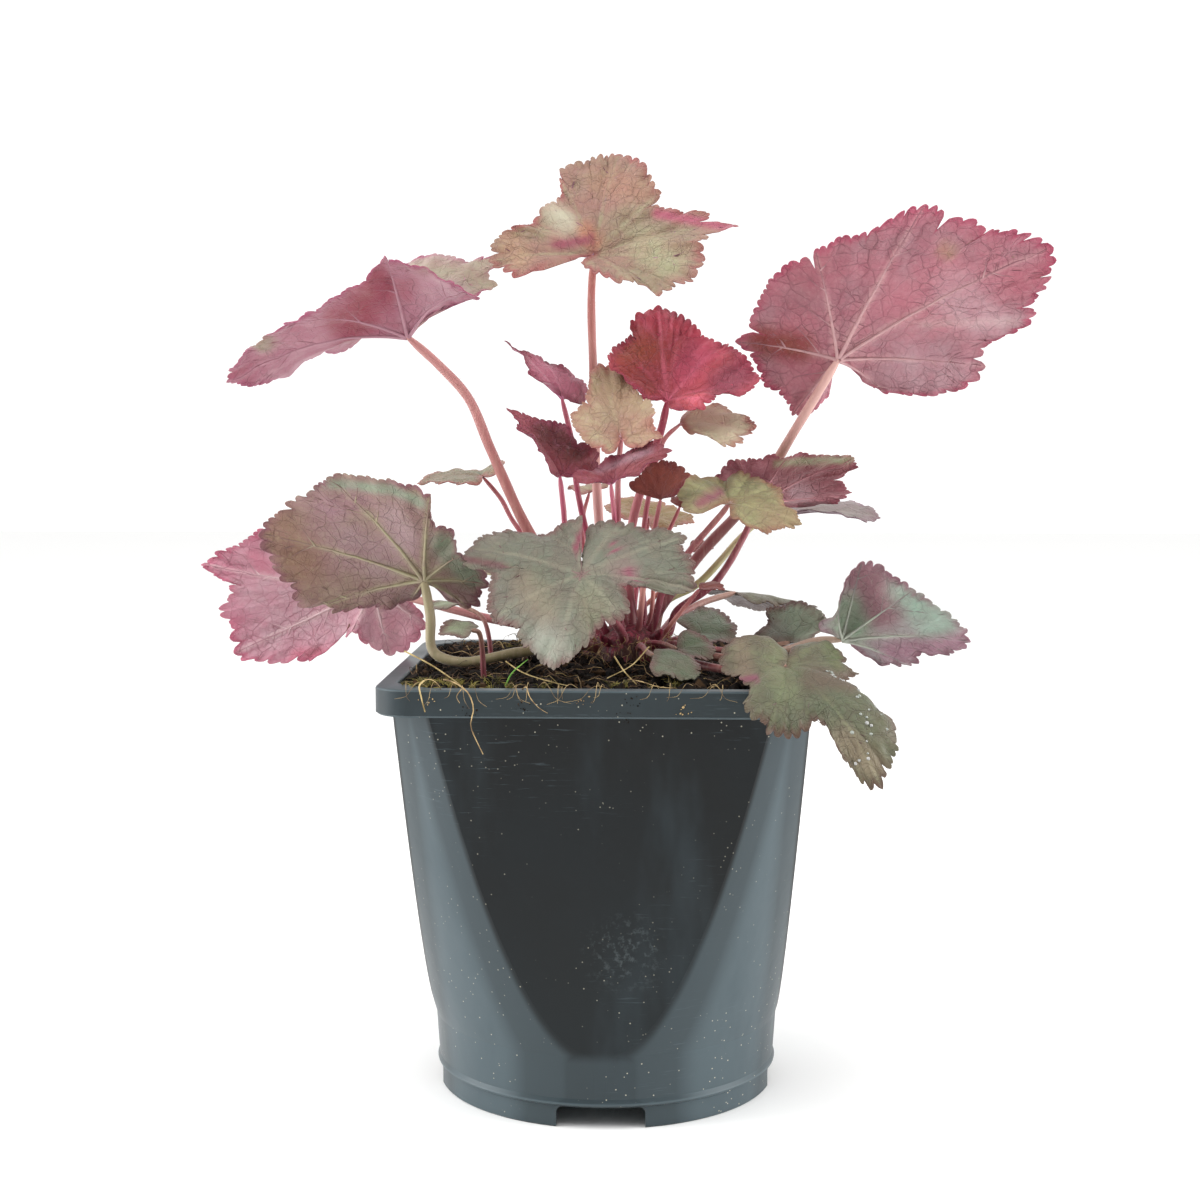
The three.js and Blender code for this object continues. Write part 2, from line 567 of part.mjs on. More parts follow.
// Every leaf, measured from the pot's axis. `joint` is where the stem meets the blade. `tips` are the ends
// of the veins, going anticlockwise round the upper face from one side of the gap at the stem to the
// other; the fourth value is how deep the edge is cut after that vein, as a share of its length. `stem` is
// the stem's way from the crown, and `thick` its radius at the foot and at the blade. `foot` is the
// stem's bearing and reach on the crown, and `hole` its own place in the soil. `arch` lifts the middle of
// a blade's veins, and `lap` is how far its edge turns on beside the stem.
const leaves = [
  {
    name: 'right_large', finish: 'mauve', foot: [35, 0.55], thick: [1.9, 1.4], joint: [72, 2, 227],
    lap: 0.1,
    tips: [[70, 15, 215, 0.03], [64.5, 14, 210, 0.03], [58.5, 12, 209, 0.03], [56, 11, 215, 0.05],
      [49.5, 10, 218.5, 0.03], [46, 7, 226.5, 0.08], [40, 4, 232.5, 0.16], [44.5, -2, 239.5, 0.03],
      [47.5, -6, 246, 0.02], [49.5, -9, 251, 0.02], [56, -13, 255.5, 0.02], [60, -16, 257, 0.13],
      [63, -18, 258.5, 0.02], [69.5, -21, 262, 0.02], [77, -24, 263, 0.04], [80, -25, 264, 0.02],
      [83.5, -27, 267, 0.02], [88, -29, 269, 0.05], [90.5, -30, 270, 0.02], [94, -31, 271, 0.02],
      [97.5, -31, 270.5, 0.02], [99, -31, 268.5, 0.1], [104, -30, 267, 0.02], [109, -29, 266.5, 0.02],
      [112, -28, 264, 0.09], [114.5, -27, 263, 0.02], [120.5, -27, 264, 0.02], [125.5, -27, 263, 0.05],
      [128.5, -26, 261.5, 0.02], [132.5, -25, 259, 0.02], [134, -22, 255.5, 0.02],
      [133, -19, 252, 0.05], [133.5, -18, 250.5, 0.02], [132.5, -15, 246.5, 0.02],
      [130.5, -13, 244.5, 0.06], [131, -9, 240, 0.02], [130, -5, 236.5, 0.02], [125.5, -2, 234.5, 0.1],
      [118, 2, 232, 0.02], [117, 3, 228, 0.05], [118, 5, 225, 0.02], [116.5, 7, 220.5, 0.02],
      [112.5, 9, 218, 0.02], [103.5, 10, 215.5, 0.04], [92.5, 11, 215.5, 0.02],
      [87, 11.5, 216.5, 0.02], [83.5, 12, 218.5, 0.1]],
    stem: [[29, 10, 165], [47, 10, 185], [59, 6, 205]],
  },
  {
    name: 'left_large', finish: 'mauve', foot: [180, 0.62], thick: [1.9, 1.4], joint: [-62, 0, 234],
    arch: 0.1,
    lap: 0.08,
    tips: [[-40, 9, 246, 0.03], [-35, 15, 250.5, 0.03], [-38.5, 18, 254, 0.06], [-30, 26, 263.5, 0.09],
      [-44.5, 21, 258.5, 0.04], [-51.5, 24, 261, 0.03], [-58, 26, 261, 0.03], [-66, 30, 259.5, 0.08],
      [-76, 36, 244, 0.1], [-81.5, 33, 231.5, 0.03], [-89.5, 29, 229, 0.03], [-96, 23, 228, 0.12],
      [-104, 15, 219.5, 0.03], [-110, 10, 217, 0.02], [-115.5, 6, 218, 0.02], [-119.5, 2, 220.5, 0.03],
      [-117, -4, 223, 0.03], [-109, -10, 229.5, 0.03], [-103, -14, 234.5, 0.05], [-95, -19, 236, 0.03],
      [-92, -21, 238, 0.04], [-83.5, -26, 242, 0.03], [-73, -31, 246.5, 0.02], [-67, -35, 252, 0.06],
      [-63, -42, 256.5, 0.05], [-62, -38, 255, 0.02], [-55, -36, 252.5, 0.02], [-47.5, -32, 249, 0.02],
      [-40, -26, 246, 0.02], [-37.5, -20, 245, 0.05]],
    stem: [[-10, -2, 152], [-24, -2, 173], [-36, -2, 199], [-43, -1, 215], [-52, 0, 225]],
  },
  {
    name: 'top', finish: 'olive', foot: [140, 0.3], thick: [1.6, 1.2], joint: [-4, 2, 259],
    lap: 0.08,
    tips: [[-7.5, -9, 255.5, 0.02], [-6, -11, 254, 0.02], [-3, -13, 252.5, 0.02],
      [-0.5, -14, 251, 0.02], [4, -16, 249.5, 0.02], [8, -17, 249.5, 0.12], [12.5, -18, 247.5, 0.02],
      [16.5, -20, 244.5, 0.02], [20.5, -19, 246.5, 0.02], [21, -19, 248.5, 0.04], [24, -18, 248, 0.02],
      [26.5, -17, 249.5, 0.02], [28, -16, 252, 0.03], [30, -14, 254, 0.02], [30.5, -12, 257, 0.03],
      [30, -10, 260.5, 0.02], [28.5, -9, 263, 0.12], [41, 2, 267, 0.16], [30.5, 5, 272.5, 0.1],
      [22, 6, 273, 0.03], [16, 6, 275, 0.12], [16.5, 7, 277.5, 0.02], [17, 8, 279, 0.03],
      [14.5, 10, 282.5, 0.03], [14, 12, 284.5, 0.02], [12, 15, 288, 0.02], [9.5, 18, 290.5, 0.02],
      [7, 20, 291.5, 0.02], [3.5, 22, 293, 0.02], [1, 22, 292.5, 0.07], [-0.5, 22, 291.5, 0.02],
      [-2.5, 22, 291.5, 0.02], [-5.5, 21, 291, 0.08], [-6.5, 20, 290, 0.02], [-9.5, 19, 290, 0.02],
      [-13, 18, 289, 0.02], [-15.5, 16, 286.5, 0.05], [-15.5, 14, 283, 0.02], [-14.5, 10, 278.5, 0.05],
      [-19, 6, 275, 0.02], [-24, 1, 268, 0.02], [-26.5, -2, 268.5, 0.02], [-29, -2, 267.5, 0.02],
      [-32, -3, 266, 0.02], [-35.5, -6, 261, 0.06], [-36, -9, 256, 0.02], [-34.5, -11, 254, 0.04],
      [-30.5, -13, 252.5, 0.02], [-28, -14, 251.5, 0.1]],
    stem: [[0, 4, 155], [-3, 6, 183], [-4, 8, 214], [-5, 8, 246]],
  },
  {
    name: 'crimson_cup', finish: 'crimson', foot: [0, 0.05], thick: [1.7, 1.2], joint: [19, -2, 214],
    tips: [[23.5, -14, 211, 0.02], [27, -16, 211, 0.02], [30, -17, 212, 0.03], [32, -17, 214, 0.12],
      [39.5, -15, 216.5, 0.02], [44.5, -13.5, 216, 0.02], [48.5, -11, 219.5, 0.02],
      [47, -8, 222, 0.02], [45, -5, 225, 0.02], [40.5, -1, 230, 0.03], [37, 2, 232.5, 0.02],
      [31.5, 5, 233.5, 0.03], [28, 8, 237, 0.02], [26, 10, 239.5, 0.02], [23.5, 11, 241, 0.05],
      [21.5, 12, 242.5, 0.02], [18.5, 13, 244, 0.02], [16, 14, 244, 0.02], [12.5, 14, 243, 0.02],
      [9.5, 13, 241.5, 0.02], [7, 12, 239.5, 0.14], [6.5, 9, 233.5, 0.03], [3.5, 6, 232.5, 0.02],
      [1.5, 4, 230.5, 0.04], [0, 1, 227.5, 0.02], [0.5, -1, 225.5, 0.03], [4, -4, 222, 0.03],
      [11.5, -8, 215.5, 0.1]],
    stem: [[7, 0, 158], [8, 0, 175], [11, 0, 187], [17, 0, 205]],
  },
  {
    name: 'small_crimson_a', finish: 'crimson', foot: [195, 0.35], thick: [1.1, 0.8], joint: [-14, 2, 215],
    tips: [[-6.5, 11, 215, 0.05], [-7, 12, 218, 0.04], [-9, 12, 221.5, 0.03], [-10, 12, 223, 0.03],
      [-13, 11, 224.5, 0.03], [-19, 9, 227, 0.02], [-21, 7, 228, 0.03], [-25, 4, 229, 0.06],
      [-32, 0, 232.5, 0.1], [-24.5, -5, 226, 0.03], [-23.5, -6, 223, 0.03], [-21.5, -7, 219.5, 0.02],
      [-18, -8, 219.5, 0.1]],
    stem: [[-4, -2, 165], [-9, 0, 186], [-11, 2, 202]],
  },
  {
    name: 'small_crimson_b', finish: 'crimson', foot: [215, 0.6], thick: [1.1, 0.8], joint: [-14, -10, 191],
    tips: [[-2, -6, 194.5, 0.03], [-2, -5, 198, 0.03], [-6.5, -5, 201, 0.04], [-10, -5, 202.5, 0.05],
      [-12.5, -5, 207.5, 0.02], [-17.5, -5, 208, 0.02], [-24.5, -6, 209, 0.05], [-31, -9, 211.5, 0.1],
      [-25.5, -14, 205.5, 0.03], [-22.5, -17, 202, 0.03], [-17, -20, 194.5, 0.1]],
    stem: [[-11, -9, 165], [-13, -10, 182]],
  },
  {
    name: 'olive_mid', finish: 'olive', foot: [250, 0.25], thick: [1.1, 0.8], joint: [5, -12, 203],
    tips: [[9, -20, 200, 0.02], [13, -20, 200.5, 0.02], [18, -19, 203, 0.06], [14.5, -17, 207, 0.03],
      [15.5, -13, 210.5, 0.04], [14, -9, 214, 0.06], [10, -6, 216.5, 0.03], [8.5, -2, 220.5, 0.03],
      [5, 1, 223.5, 0.02], [4, 3, 225, 0.02], [1, 4, 225.5, 0.02], [-2.5, 4, 225.5, 0.02],
      [-5.5, 3, 223, 0.03], [-5.5, 0, 219.5, 0.03], [-6, -3, 216.5, 0.1], [-8, -6, 212, 0.02],
      [-11, -8, 210.5, 0.03], [-10, -11, 206, 0.08], [-7, -15, 202.5, 0.03], [-3, -18, 200, 0.05],
      [0.5, -21, 198, 0.1]],
    stem: [[4, -6, 171], [4, -9, 193]],
  },
  {
    name: 'olive_small_right', finish: 'olive', foot: [0, 0.3], thick: [1, 0.7], joint: [23, -4, 207],
    tips: [[27.5, -8, 204, 0.03], [31.5, -10, 203, 0.05], [36.5, -13, 200.5, 0.04],
      [39.5, -13, 200.5, 0.02], [42, -12, 200.5, 0.12], [45, -9, 204, 0.02], [46.5, -6, 206, 0.03],
      [44.5, -2, 208.5, 0.02], [40.5, 1, 210.5, 0.02], [36, 4, 213, 0.02], [32.5, 5, 213.5, 0.03],
      [26.5, 5, 211.5, 0.1]],
    stem: [[11, -2, 162], [13, -2, 183], [18, -3, 202]],
  },
  {
    name: 'crimson_fold', finish: 'crimson', foot: [255, 0.5], thick: [1, 0.7], joint: [2, -20, 189],
    tips: [[7, -24, 191, 0.03], [11.5, -25, 193.5, 0.03], [19, -23, 197.5, 0.02],
      [20.5, -22, 199.5, 0.02], [17.5, -20, 201, 0.02], [14, -18, 201.5, 0.02],
      [8.5, -17, 199.5, 0.02], [4, -16, 197.5, 0.03], [-0.5, -16, 195, 0.04], [-4, -17, 193.5, 0.03],
      [-9.5, -22, 191, 0.1]],
    stem: [[3, -13, 159], [3, -18, 178]],
  },
  {
    name: 'brown_crimson', finish: 'crimson', foot: [300, 0.45], thick: [1, 0.7], joint: [17, -14, 184],
    tips: [[22, -20, 186.5, 0.03], [24.5, -19, 189, 0.03], [26, -18, 192, 0.04], [24, -16, 194, 0.03],
      [21.5, -14, 195.5, 0.03], [18, -12, 196, 0.03], [14.5, -11, 195.5, 0.03],
      [12.5, -10, 193.5, 0.04], [9.5, -11, 190.5, 0.03], [7.5, -12, 189, 0.1]],
    stem: [[12, -8, 159], [15, -11, 174]],
  },
  {
    name: 'edge_on_olive', finish: 'olive', foot: [135, 0.7], thick: [0.9, 0.6], joint: [-6, 16, 185],
    tips: [[0, 13, 187, 0.05], [-3, 24, 187, 0.05], [-9, 25, 187, 0.05], [-13, 16, 186, 0.05],
      [-9, 8, 185, 0.1]],
    stem: [[-6, 10, 157], [-8, 14, 176]],
  },
  {
    name: 'olive_behind', finish: 'olive', foot: [85, 0.7], thick: [1.1, 0.8], joint: [13, 32, 176],
    tips: [[17, 20, 172, 0.05], [28, 28, 175, 0.05], [23, 40, 178, 0.05], [13, 47, 181, 0.05],
      [2, 46, 182, 0.05], [-2, 36, 179, 0.05], [5, 24, 176, 0.1]],
    stem: [[9, 16, 154], [11, 27, 167]],
  },
  {
    name: 'light_olive', finish: 'olive', foot: [335, 0.55], thick: [1.2, 0.9], joint: [38, -14, 183],
    tips: [[40.5, -22, 178, 0.02], [44.5, -26, 175.5, 0.02], [49, -28, 174.5, 0.02],
      [53, -28, 175.5, 0.03], [57, -26, 176, 0.02], [59.5, -25, 177, 0.02], [58, -22, 180, 0.04],
      [55, -16, 183, 0.05], [54.5, -12, 185, 0.03], [53.5, -9, 187.5, 0.03], [50.5, -6, 189.5, 0.05],
      [46, -4, 190.5, 0.04], [44.5, -3, 192, 0.02], [42, -3, 192.5, 0.02], [39, -3, 192, 0.3],
      [36.5, -3, 189, 0.03], [33.5, -3, 190, 0.04], [30, -4, 190, 0.03], [27.5, -5, 191.5, 0.02],
      [23, -8, 189.5, 0.03], [21.5, -11, 187.5, 0.03], [22, -14, 185, 0.04], [24, -19, 181, 0.1]],
    stem: [[18, -6, 156], [26, -9, 168], [36, -12, 180]],
  },
  {
    name: 'crimson_right', finish: 'crimson', foot: [12, 0.8], thick: [1.3, 1], joint: [47, 8, 181],
    tips: [[34, 1, 190.5, 0.02], [36, 0, 193.5, 0.03], [38, -2, 195.5, 0.02], [41, -3, 197, 0.05],
      [45.5, -5, 196, 0.04], [52, -7, 197, 0.03], [56, -8, 196.5, 0.03], [60, -8, 197.5, 0.02],
      [66.5, -7, 197.5, 0.02], [74, -5, 197.5, 0.02], [77, -2, 196, 0.02], [78.5, 1, 193.5, 0.03],
      [75.5, 3, 192, 0.14], [75, 7, 187.5, 0.02], [77.5, 10, 185, 0.03], [76, 12, 182.5, 0.03],
      [73.5, 15, 181.5, 0.03], [66.5, 20, 180.5, 0.1]],
    stem: [[22, 2, 148], [34, 4, 157], [44, 8, 173]],
  },
  {
    name: 'pale_right', finish: 'mauve', foot: [50, 0.8], thick: [1.4, 0.9], joint: [59, 24, 178],
    tips: [[71, 14, 178, 0.04], [83, 16, 176, 0.04], [88, 24, 176, 0.05], [80, 38, 182, 0.05],
      [68, 42, 180, 0.05], [55, 34, 179, 0.1]],
    stem: [[18, 9, 150], [29, 14, 156], [48, 20, 175]],
  },
  {
    name: 'front_big', finish: 'green', foot: [262, 0.75], thick: [1.5, 1.1], joint: [-6, -40, 163],
    lap: 0.05,
    tips: [[-7, -20, 179.5, 0.02], [-10.5, -20, 178, 0.02], [-12.5, -21, 177, 0.02],
      [-14, -22, 175, 0.03], [-17, -23, 174, 0.1], [-26.5, -23, 174.5, 0.02], [-29.5, -22, 175, 0.02],
      [-33.5, -22, 174.5, 0.03], [-35.5, -23, 173, 0.02], [-39, -25, 172, 0.02], [-41, -27, 170, 0.02],
      [-41.5, -30, 167, 0.03], [-42, -32, 165.5, 0.1], [-33, -36, 162.5, 0.02],
      [-33.5, -38, 159, 0.02], [-34, -41, 155.5, 0.02], [-33.5, -44, 152.5, 0.02],
      [-32, -47, 150, 0.02], [-29, -49, 148.5, 0.02], [-25, -51, 148.5, 0.05], [-24, -53, 145.5, 0.02],
      [-22, -56, 143, 0.02], [-19, -58, 141.5, 0.02], [-17, -61, 139.5, 0.02], [-13, -64, 138, 0.02],
      [-9, -62, 139.5, 0.02], [-6.5, -60, 142, 0.03], [-3.5, -58, 143.5, 0.03], [-2, -56, 146, 0.03],
      [0, -54, 148.5, 0.05], [3.5, -53, 149.5, 0.02], [6.5, -52, 151, 0.02], [8.5, -50, 152.5, 0.02],
      [8.5, -48, 155, 0.03], [7.5, -46, 157.5, 0.04], [7.5, -45, 160.5, 0.22], [21, -46, 157.5, 0.02],
      [24, -45, 157, 0.02], [27, -44, 158.5, 0.02], [28, -43, 160, 0.02], [27, -41, 161.5, 0.05],
      [27.5, -39, 163.5, 0.02], [27.5, -37, 166, 0.02], [26, -35, 168, 0.02], [24, -32, 170, 0.06],
      [25, -29, 173, 0.02], [23, -27, 175, 0.02], [20.5, -26, 175.5, 0.03], [15, -24, 174.5, 0.02],
      [11, -23, 176, 0.02], [8.5, -23, 176.5, 0.02], [5.5, -22, 177.5, 0.02], [2.5, -21, 178, 0.02],
      [-1, -20, 177.5, 0.04], [-4, -20, 177, 0.1]],
    stem: [[-3, -32, 157]],
  },
  {
    name: 'left_mauve', finish: 'mauve', foot: [215, 0.92], thick: [1.7, 1.5], joint: [-56, -12, 159],
    tips: [[-61, -3, 151, 0.05], [-70, -7, 149, 0.05], [-76, -9, 150, 0.03], [-80.5, -10, 148, 0.02],
      [-84.5, -11, 148, 0.03], [-86.5, -12, 151, 0.05], [-91.5, -13, 150, 0.02],
      [-95, -14, 150.5, 0.02], [-96.5, -15, 153.5, 0.03], [-96.5, -16, 157, 0.06],
      [-99.5, -18, 159, 0.02], [-101.5, -20, 162.5, 0.02], [-102, -21, 165.5, 0.04],
      [-104.5, -23, 170, 0.02], [-104.5, -25, 174, 0.02], [-102.5, -27, 177.5, 0.02],
      [-97.5, -30, 180.5, 0.05], [-95, -31, 183.5, 0.02], [-91, -33, 185.5, 0.02],
      [-87.5, -34, 186.5, 0.02], [-85.5, -36, 188.5, 0.02], [-81, -39, 191.5, 0.02],
      [-73.5, -42, 192, 0.02], [-66.5, -43, 191.5, 0.02], [-61, -43, 189.5, 0.02],
      [-54.5, -41, 189, 0.03], [-50.5, -38, 187, 0.1], [-51.5, -28, 177.5, 0.05],
      [-48.5, -26, 176.5, 0.03], [-45.5, -24, 175, 0.05], [-45, -22, 170.5, 0.03],
      [-43, -20, 167.5, 0.06], [-36.5, -14, 161, 0.03], [-35.5, -10, 157.5, 0.04],
      [-39, -8, 153.5, 0.02], [-39, -6, 150.5, 0.03], [-43, -5, 149.5, 0.03], [-46.5, -4, 150.5, 0.1]],
    stem: [[-27, -16, 137], [-44, -16, 134], [-53, -14, 137], [-54, -13, 148]],
  },
  {
    name: 'left_pink', finish: 'mauve', foot: [165, 0.85], thick: [1.5, 1.2], joint: [-77, 22, 154],
    tips: [[-64, 24, 148.5, 0.02], [-60.5, 22, 145, 0.02], [-59, 20, 141.5, 0.03],
      [-61.5, 18, 137, 0.03], [-65.5, 16, 133.5, 0.02], [-70.5, 14, 132, 0.02], [-75, 13, 134, 0.03],
      [-78.5, 12, 137, 0.03], [-82.5, 12, 140.5, 0.37], [-95.5, 9, 131, 0.02], [-98.5, 8, 131, 0.05],
      [-104, 8, 131, 0.02], [-108.5, 8, 130.5, 0.02], [-112, 8, 131, 0.02], [-117.5, 8, 131, 0.02],
      [-120, 8, 133.5, 0.04], [-121.5, 8.5, 138.5, 0.02], [-121, 9, 143, 0.02],
      [-124.5, 9.5, 145.5, 0.02], [-125, 10, 148, 0.02], [-122, 11, 152, 0.02],
      [-122, 12, 154.5, 0.09], [-126.5, 14, 158.5, 0.02], [-131.5, 16, 159.5, 0.02],
      [-132, 16, 161, 0.02], [-130, 18, 163, 0.03], [-128, 19, 165.5, 0.02], [-124, 20, 167, 0.02],
      [-119.5, 23, 169.5, 0.02], [-115.5, 26, 172.5, 0.03], [-105, 29, 172.5, 0.03],
      [-94, 30, 171.5, 0.1]],
    stem: [[-35, 12, 144], [-58, 18, 149]],
  },
  {
    name: 'thin_left', finish: 'olive', foot: [160, 0.6], thick: [1, 0.7], joint: [-40, 14, 190],
    tips: [[-36, 7, 191, 0.05], [-42, 24, 191, 0.05], [-53, 29, 192, 0.05], [-62, 18, 188, 0.05],
      [-53, 3, 188, 0.05], [-43, -1, 188, 0.1]],
    stem: [[-15, 6, 158], [-30, 10, 176], [-34, 12, 183]],
  },
  {
    name: 'small_green_left', finish: 'green', hole: [-36, -30], thick: [0.9, 0.7], joint: [-39, -36, 146],
    tips: [[-38, -30, 147, 0.05], [-46, -28, 148, 0.05], [-49, -36, 145, 0.05], [-41, -45, 145, 0.1]],
    stem: [[-37, -33, 145]],
  },
  {
    name: 'thin_green_left', finish: 'green', hole: [-36, -3], thick: [0.9, 0.6], joint: [-47, 4, 150],
    tips: [[-46, 10, 150, 0.05], [-54, 14, 150, 0.05], [-58, 8, 148, 0.05], [-51, -1, 149, 0.1]],
    stem: [[-39, 0, 146]],
  },
  {
    name: 'folded_right', finish: 'mauve', foot: [335, 0.92], thick: [1.4, 1.1], joint: [72, -22, 142],
    tips: [[65.5, -34, 149, 0.03], [70, -34, 152.5, 0.04], [72, -31, 159.5, 0.02],
      [72.5, -30, 162.5, 0.02], [74, -30, 164.5, 0.02], [77, -31, 166.5, 0.02], [79.5, -32, 167, 0.02],
      [82, -33, 166, 0.02], [84.5, -36, 163.5, 0.02], [91, -41, 159, 0.02], [97.5, -44, 153.5, 0.02],
      [101.5, -44, 152, 0.02], [103.5, -42, 149.5, 0.02], [107, -38, 146, 0.02],
      [109, -34, 143.5, 0.02], [108, -31, 140.5, 0.03], [103.5, -28, 138, 0.02],
      [99.5, -26, 137.5, 0.02], [95.5, -24, 137.5, 0.02], [95.5, -21, 135, 0.02], [93, -18, 133, 0.02],
      [90, -16, 133, 0.03], [86.5, -14, 133.5, 0.1]],
    stem: [[26, -12, 137], [41, -20, 136], [54, -25, 139], [65, -23, 142]],
  },
  {
    name: 'curled_right', finish: 'green', foot: [355, 0.9], thick: [1.1, 0.8], joint: [58, 6, 138],
    tips: [[63.5, -3, 139, 0.03], [68.5, 1, 143, 0.03], [69.5, 3, 145, 0.03], [68, 6, 148, 0.03],
      [66, 8, 149, 0.02], [62, 11, 151, 0.02], [59, 13, 150.5, 0.06], [55, 15, 148.5, 0.02],
      [51, 16, 148, 0.14], [51.5, 15, 143, 0.03], [49.5, 14, 141.5, 0.03], [47, 13, 139, 0.1]],
    stem: [[29, 0, 137], [43, 2, 136]],
  },
  {
    name: 'over_rim', finish: 'olive', foot: [312, 0.92], thick: [1.5, 1.2], joint: [53, -57, 138],
    arch: 0.12,
    tips: [[51.5, -44, 142, 0.02], [49.5, -44, 144.5, 0.02], [46, -45, 145, 0.02],
      [41.5, -46, 145.5, 0.02], [38, -47, 145, 0.02], [35, -50, 142, 0.02], [34, -53, 139, 0.02],
      [35, -57, 136, 0.12], [43, -66, 133, 0.03], [41.5, -70, 131.5, 0.02], [40.5, -73, 130, 0.02],
      [41, -76, 128, 0.02], [42.5, -78, 126, 0.02], [45.5, -78, 124.5, 0.04], [46.5, -80, 122, 0.02],
      [49.5, -80, 121.5, 0.02], [52.5, -80, 120.5, 0.02], [55, -80, 121, 0.02], [58, -79, 122.5, 0.02],
      [60.5, -77, 125, 0.18], [67.5, -86, 115, 0.03], [72, -90, 111, 0.02], [74.5, -91, 110, 0.02],
      [77.5, -91, 110, 0.02], [78.5, -88, 112, 0.04], [80, -86.5, 113.5, 0.02], [82, -83, 118, 0.03],
      [82.5, -80, 121, 0.02], [82.5, -76, 124.5, 0.2], [70.5, -62, 131.5, 0.02], [70, -58, 134, 0.05],
      [74, -50, 134.5, 0.02], [72.5, -48, 136, 0.2], [70.5, -42, 137, 0.02], [71, -40, 139, 0.02],
      [69.5, -36, 142.5, 0.02], [65.5, -35, 142, 0.1]],
    stem: [[24, -17, 135.2], [34, -28, 133.9], [44, -41, 135], [50, -50, 138.5]],
  },
  {
    name: 'small_green_front', finish: 'green', foot: [285, 0.9], thick: [0.9, 0.7], joint: [15, -38, 139],
    tips: [[17, -50, 134, 0.05], [28, -48, 133, 0.05], [29, -38, 136, 0.05], [18, -30, 140, 0.1]],
    stem: [[13, -28, 139]],
  },
  {
    name: 'small_green_right', finish: 'green', foot: [298, 0.88], thick: [0.9, 0.7], joint: [22, -22, 139],
    tips: [[27, -31, 137, 0.05], [33, -28, 137, 0.05], [33, -18, 140, 0.05], [26, -12, 144, 0.1]],
    stem: [[18, -17, 140]],
  },
  {
    name: 'olive_low_right', finish: 'green', foot: [25, 0.92], thick: [1, 0.8], joint: [28, 10, 140],
    tips: [[29, 2, 138, 0.05], [41, 10, 139, 0.05], [34, 26, 147, 0.05], [23, 22, 145, 0.1]],
    stem: [[23, 7, 139]],
  },
  {
    name: 'young_curled', finish: 'crimson', foot: [345, 0.75], thick: [0.8, 0.6], joint: [29, -8, 156],
    tips: [[32, -12, 156, 0.05], [37, -8, 156, 0.05], [34, -2, 158, 0.05], [31, -2, 158, 0.1]],
    stem: [[21, -8, 146]],
  },
  {
    name: 'young_brown', finish: 'crimson', foot: [75, 0.45], thick: [0.8, 0.6], joint: [26, 18, 166],
    tips: [[31, 14, 166, 0.05], [34, 18, 167, 0.05], [32, 24, 169, 0.05], [28, 22, 169, 0.1]],
    stem: [[17, 10, 154]],
  },
  {
    name: 'young_red', finish: 'crimson', foot: [20, 0.45], thick: [0.8, 0.6], joint: [23, 4, 181],
    tips: [[26, 2, 181, 0.05], [25, 6, 184, 0.05], [22, 8, 184, 0.05], [20, 4, 183, 0.1]],
    stem: [[16, 3, 164]],
  },
  {
    name: 'back_middle', finish: 'green', foot: [95, 0.85], thick: [1.5, 1.1], joint: [-6, 58, 158],
    tips: [[10, 50, 156, 0.05], [26, 60, 158, 0.05], [20, 80, 152, 0.08], [0, 92, 146, 0.05],
      [-22, 86, 150, 0.08], [-32, 66, 158, 0.05], [-22, 50, 160, 0.1]],
    stem: [[4, 26, 152], [0, 44, 158]],
  },
  {
    name: 'back_left', finish: 'mauve', foot: [145, 0.88], thick: [1.5, 1.1], joint: [-50, 52, 158],
    tips: [[-40, 64, 160, 0.05], [-52, 80, 158, 0.08], [-72, 82, 152, 0.05], [-88, 66, 148, 0.08],
      [-84, 48, 152, 0.05], [-66, 38, 158, 0.1]],
    stem: [[-14, 20, 148], [-34, 40, 156]],
  },
  {
    name: 'back_right', finish: 'olive', foot: [58, 0.95], thick: [1.4, 1], joint: [42, 48, 150],
    tips: [[50, 34, 148, 0.05], [66, 40, 146, 0.08], [74, 56, 140, 0.05], [64, 72, 138, 0.08],
      [46, 74, 142, 0.05], [34, 62, 148, 0.1]],
    stem: [[22, 26, 144], [32, 38, 148]],
  },
];

// ---- The whole plant ----------------------------------------------------------------------------

const group = new THREE.Group();
const plant = new THREE.Group();
plant.add(pot(), soil(), crown());
for (const leaf of leaves) plant.add(leafMesh(leaf));
group.add(plant);

const extent = new THREE.Box3().setFromObject(plant);
plant.position.set(-(extent.min.x + extent.max.x) / 2, -(extent.min.y + extent.max.y) / 2, 0);
group.updateMatrixWorld(true);

export default group;
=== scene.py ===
import json
from math import acos, atan2, cos, exp, hypot, inf, pi, radians, sin, sqrt, tan

import bmesh
import bpy
import numpy as np
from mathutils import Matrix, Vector, noise

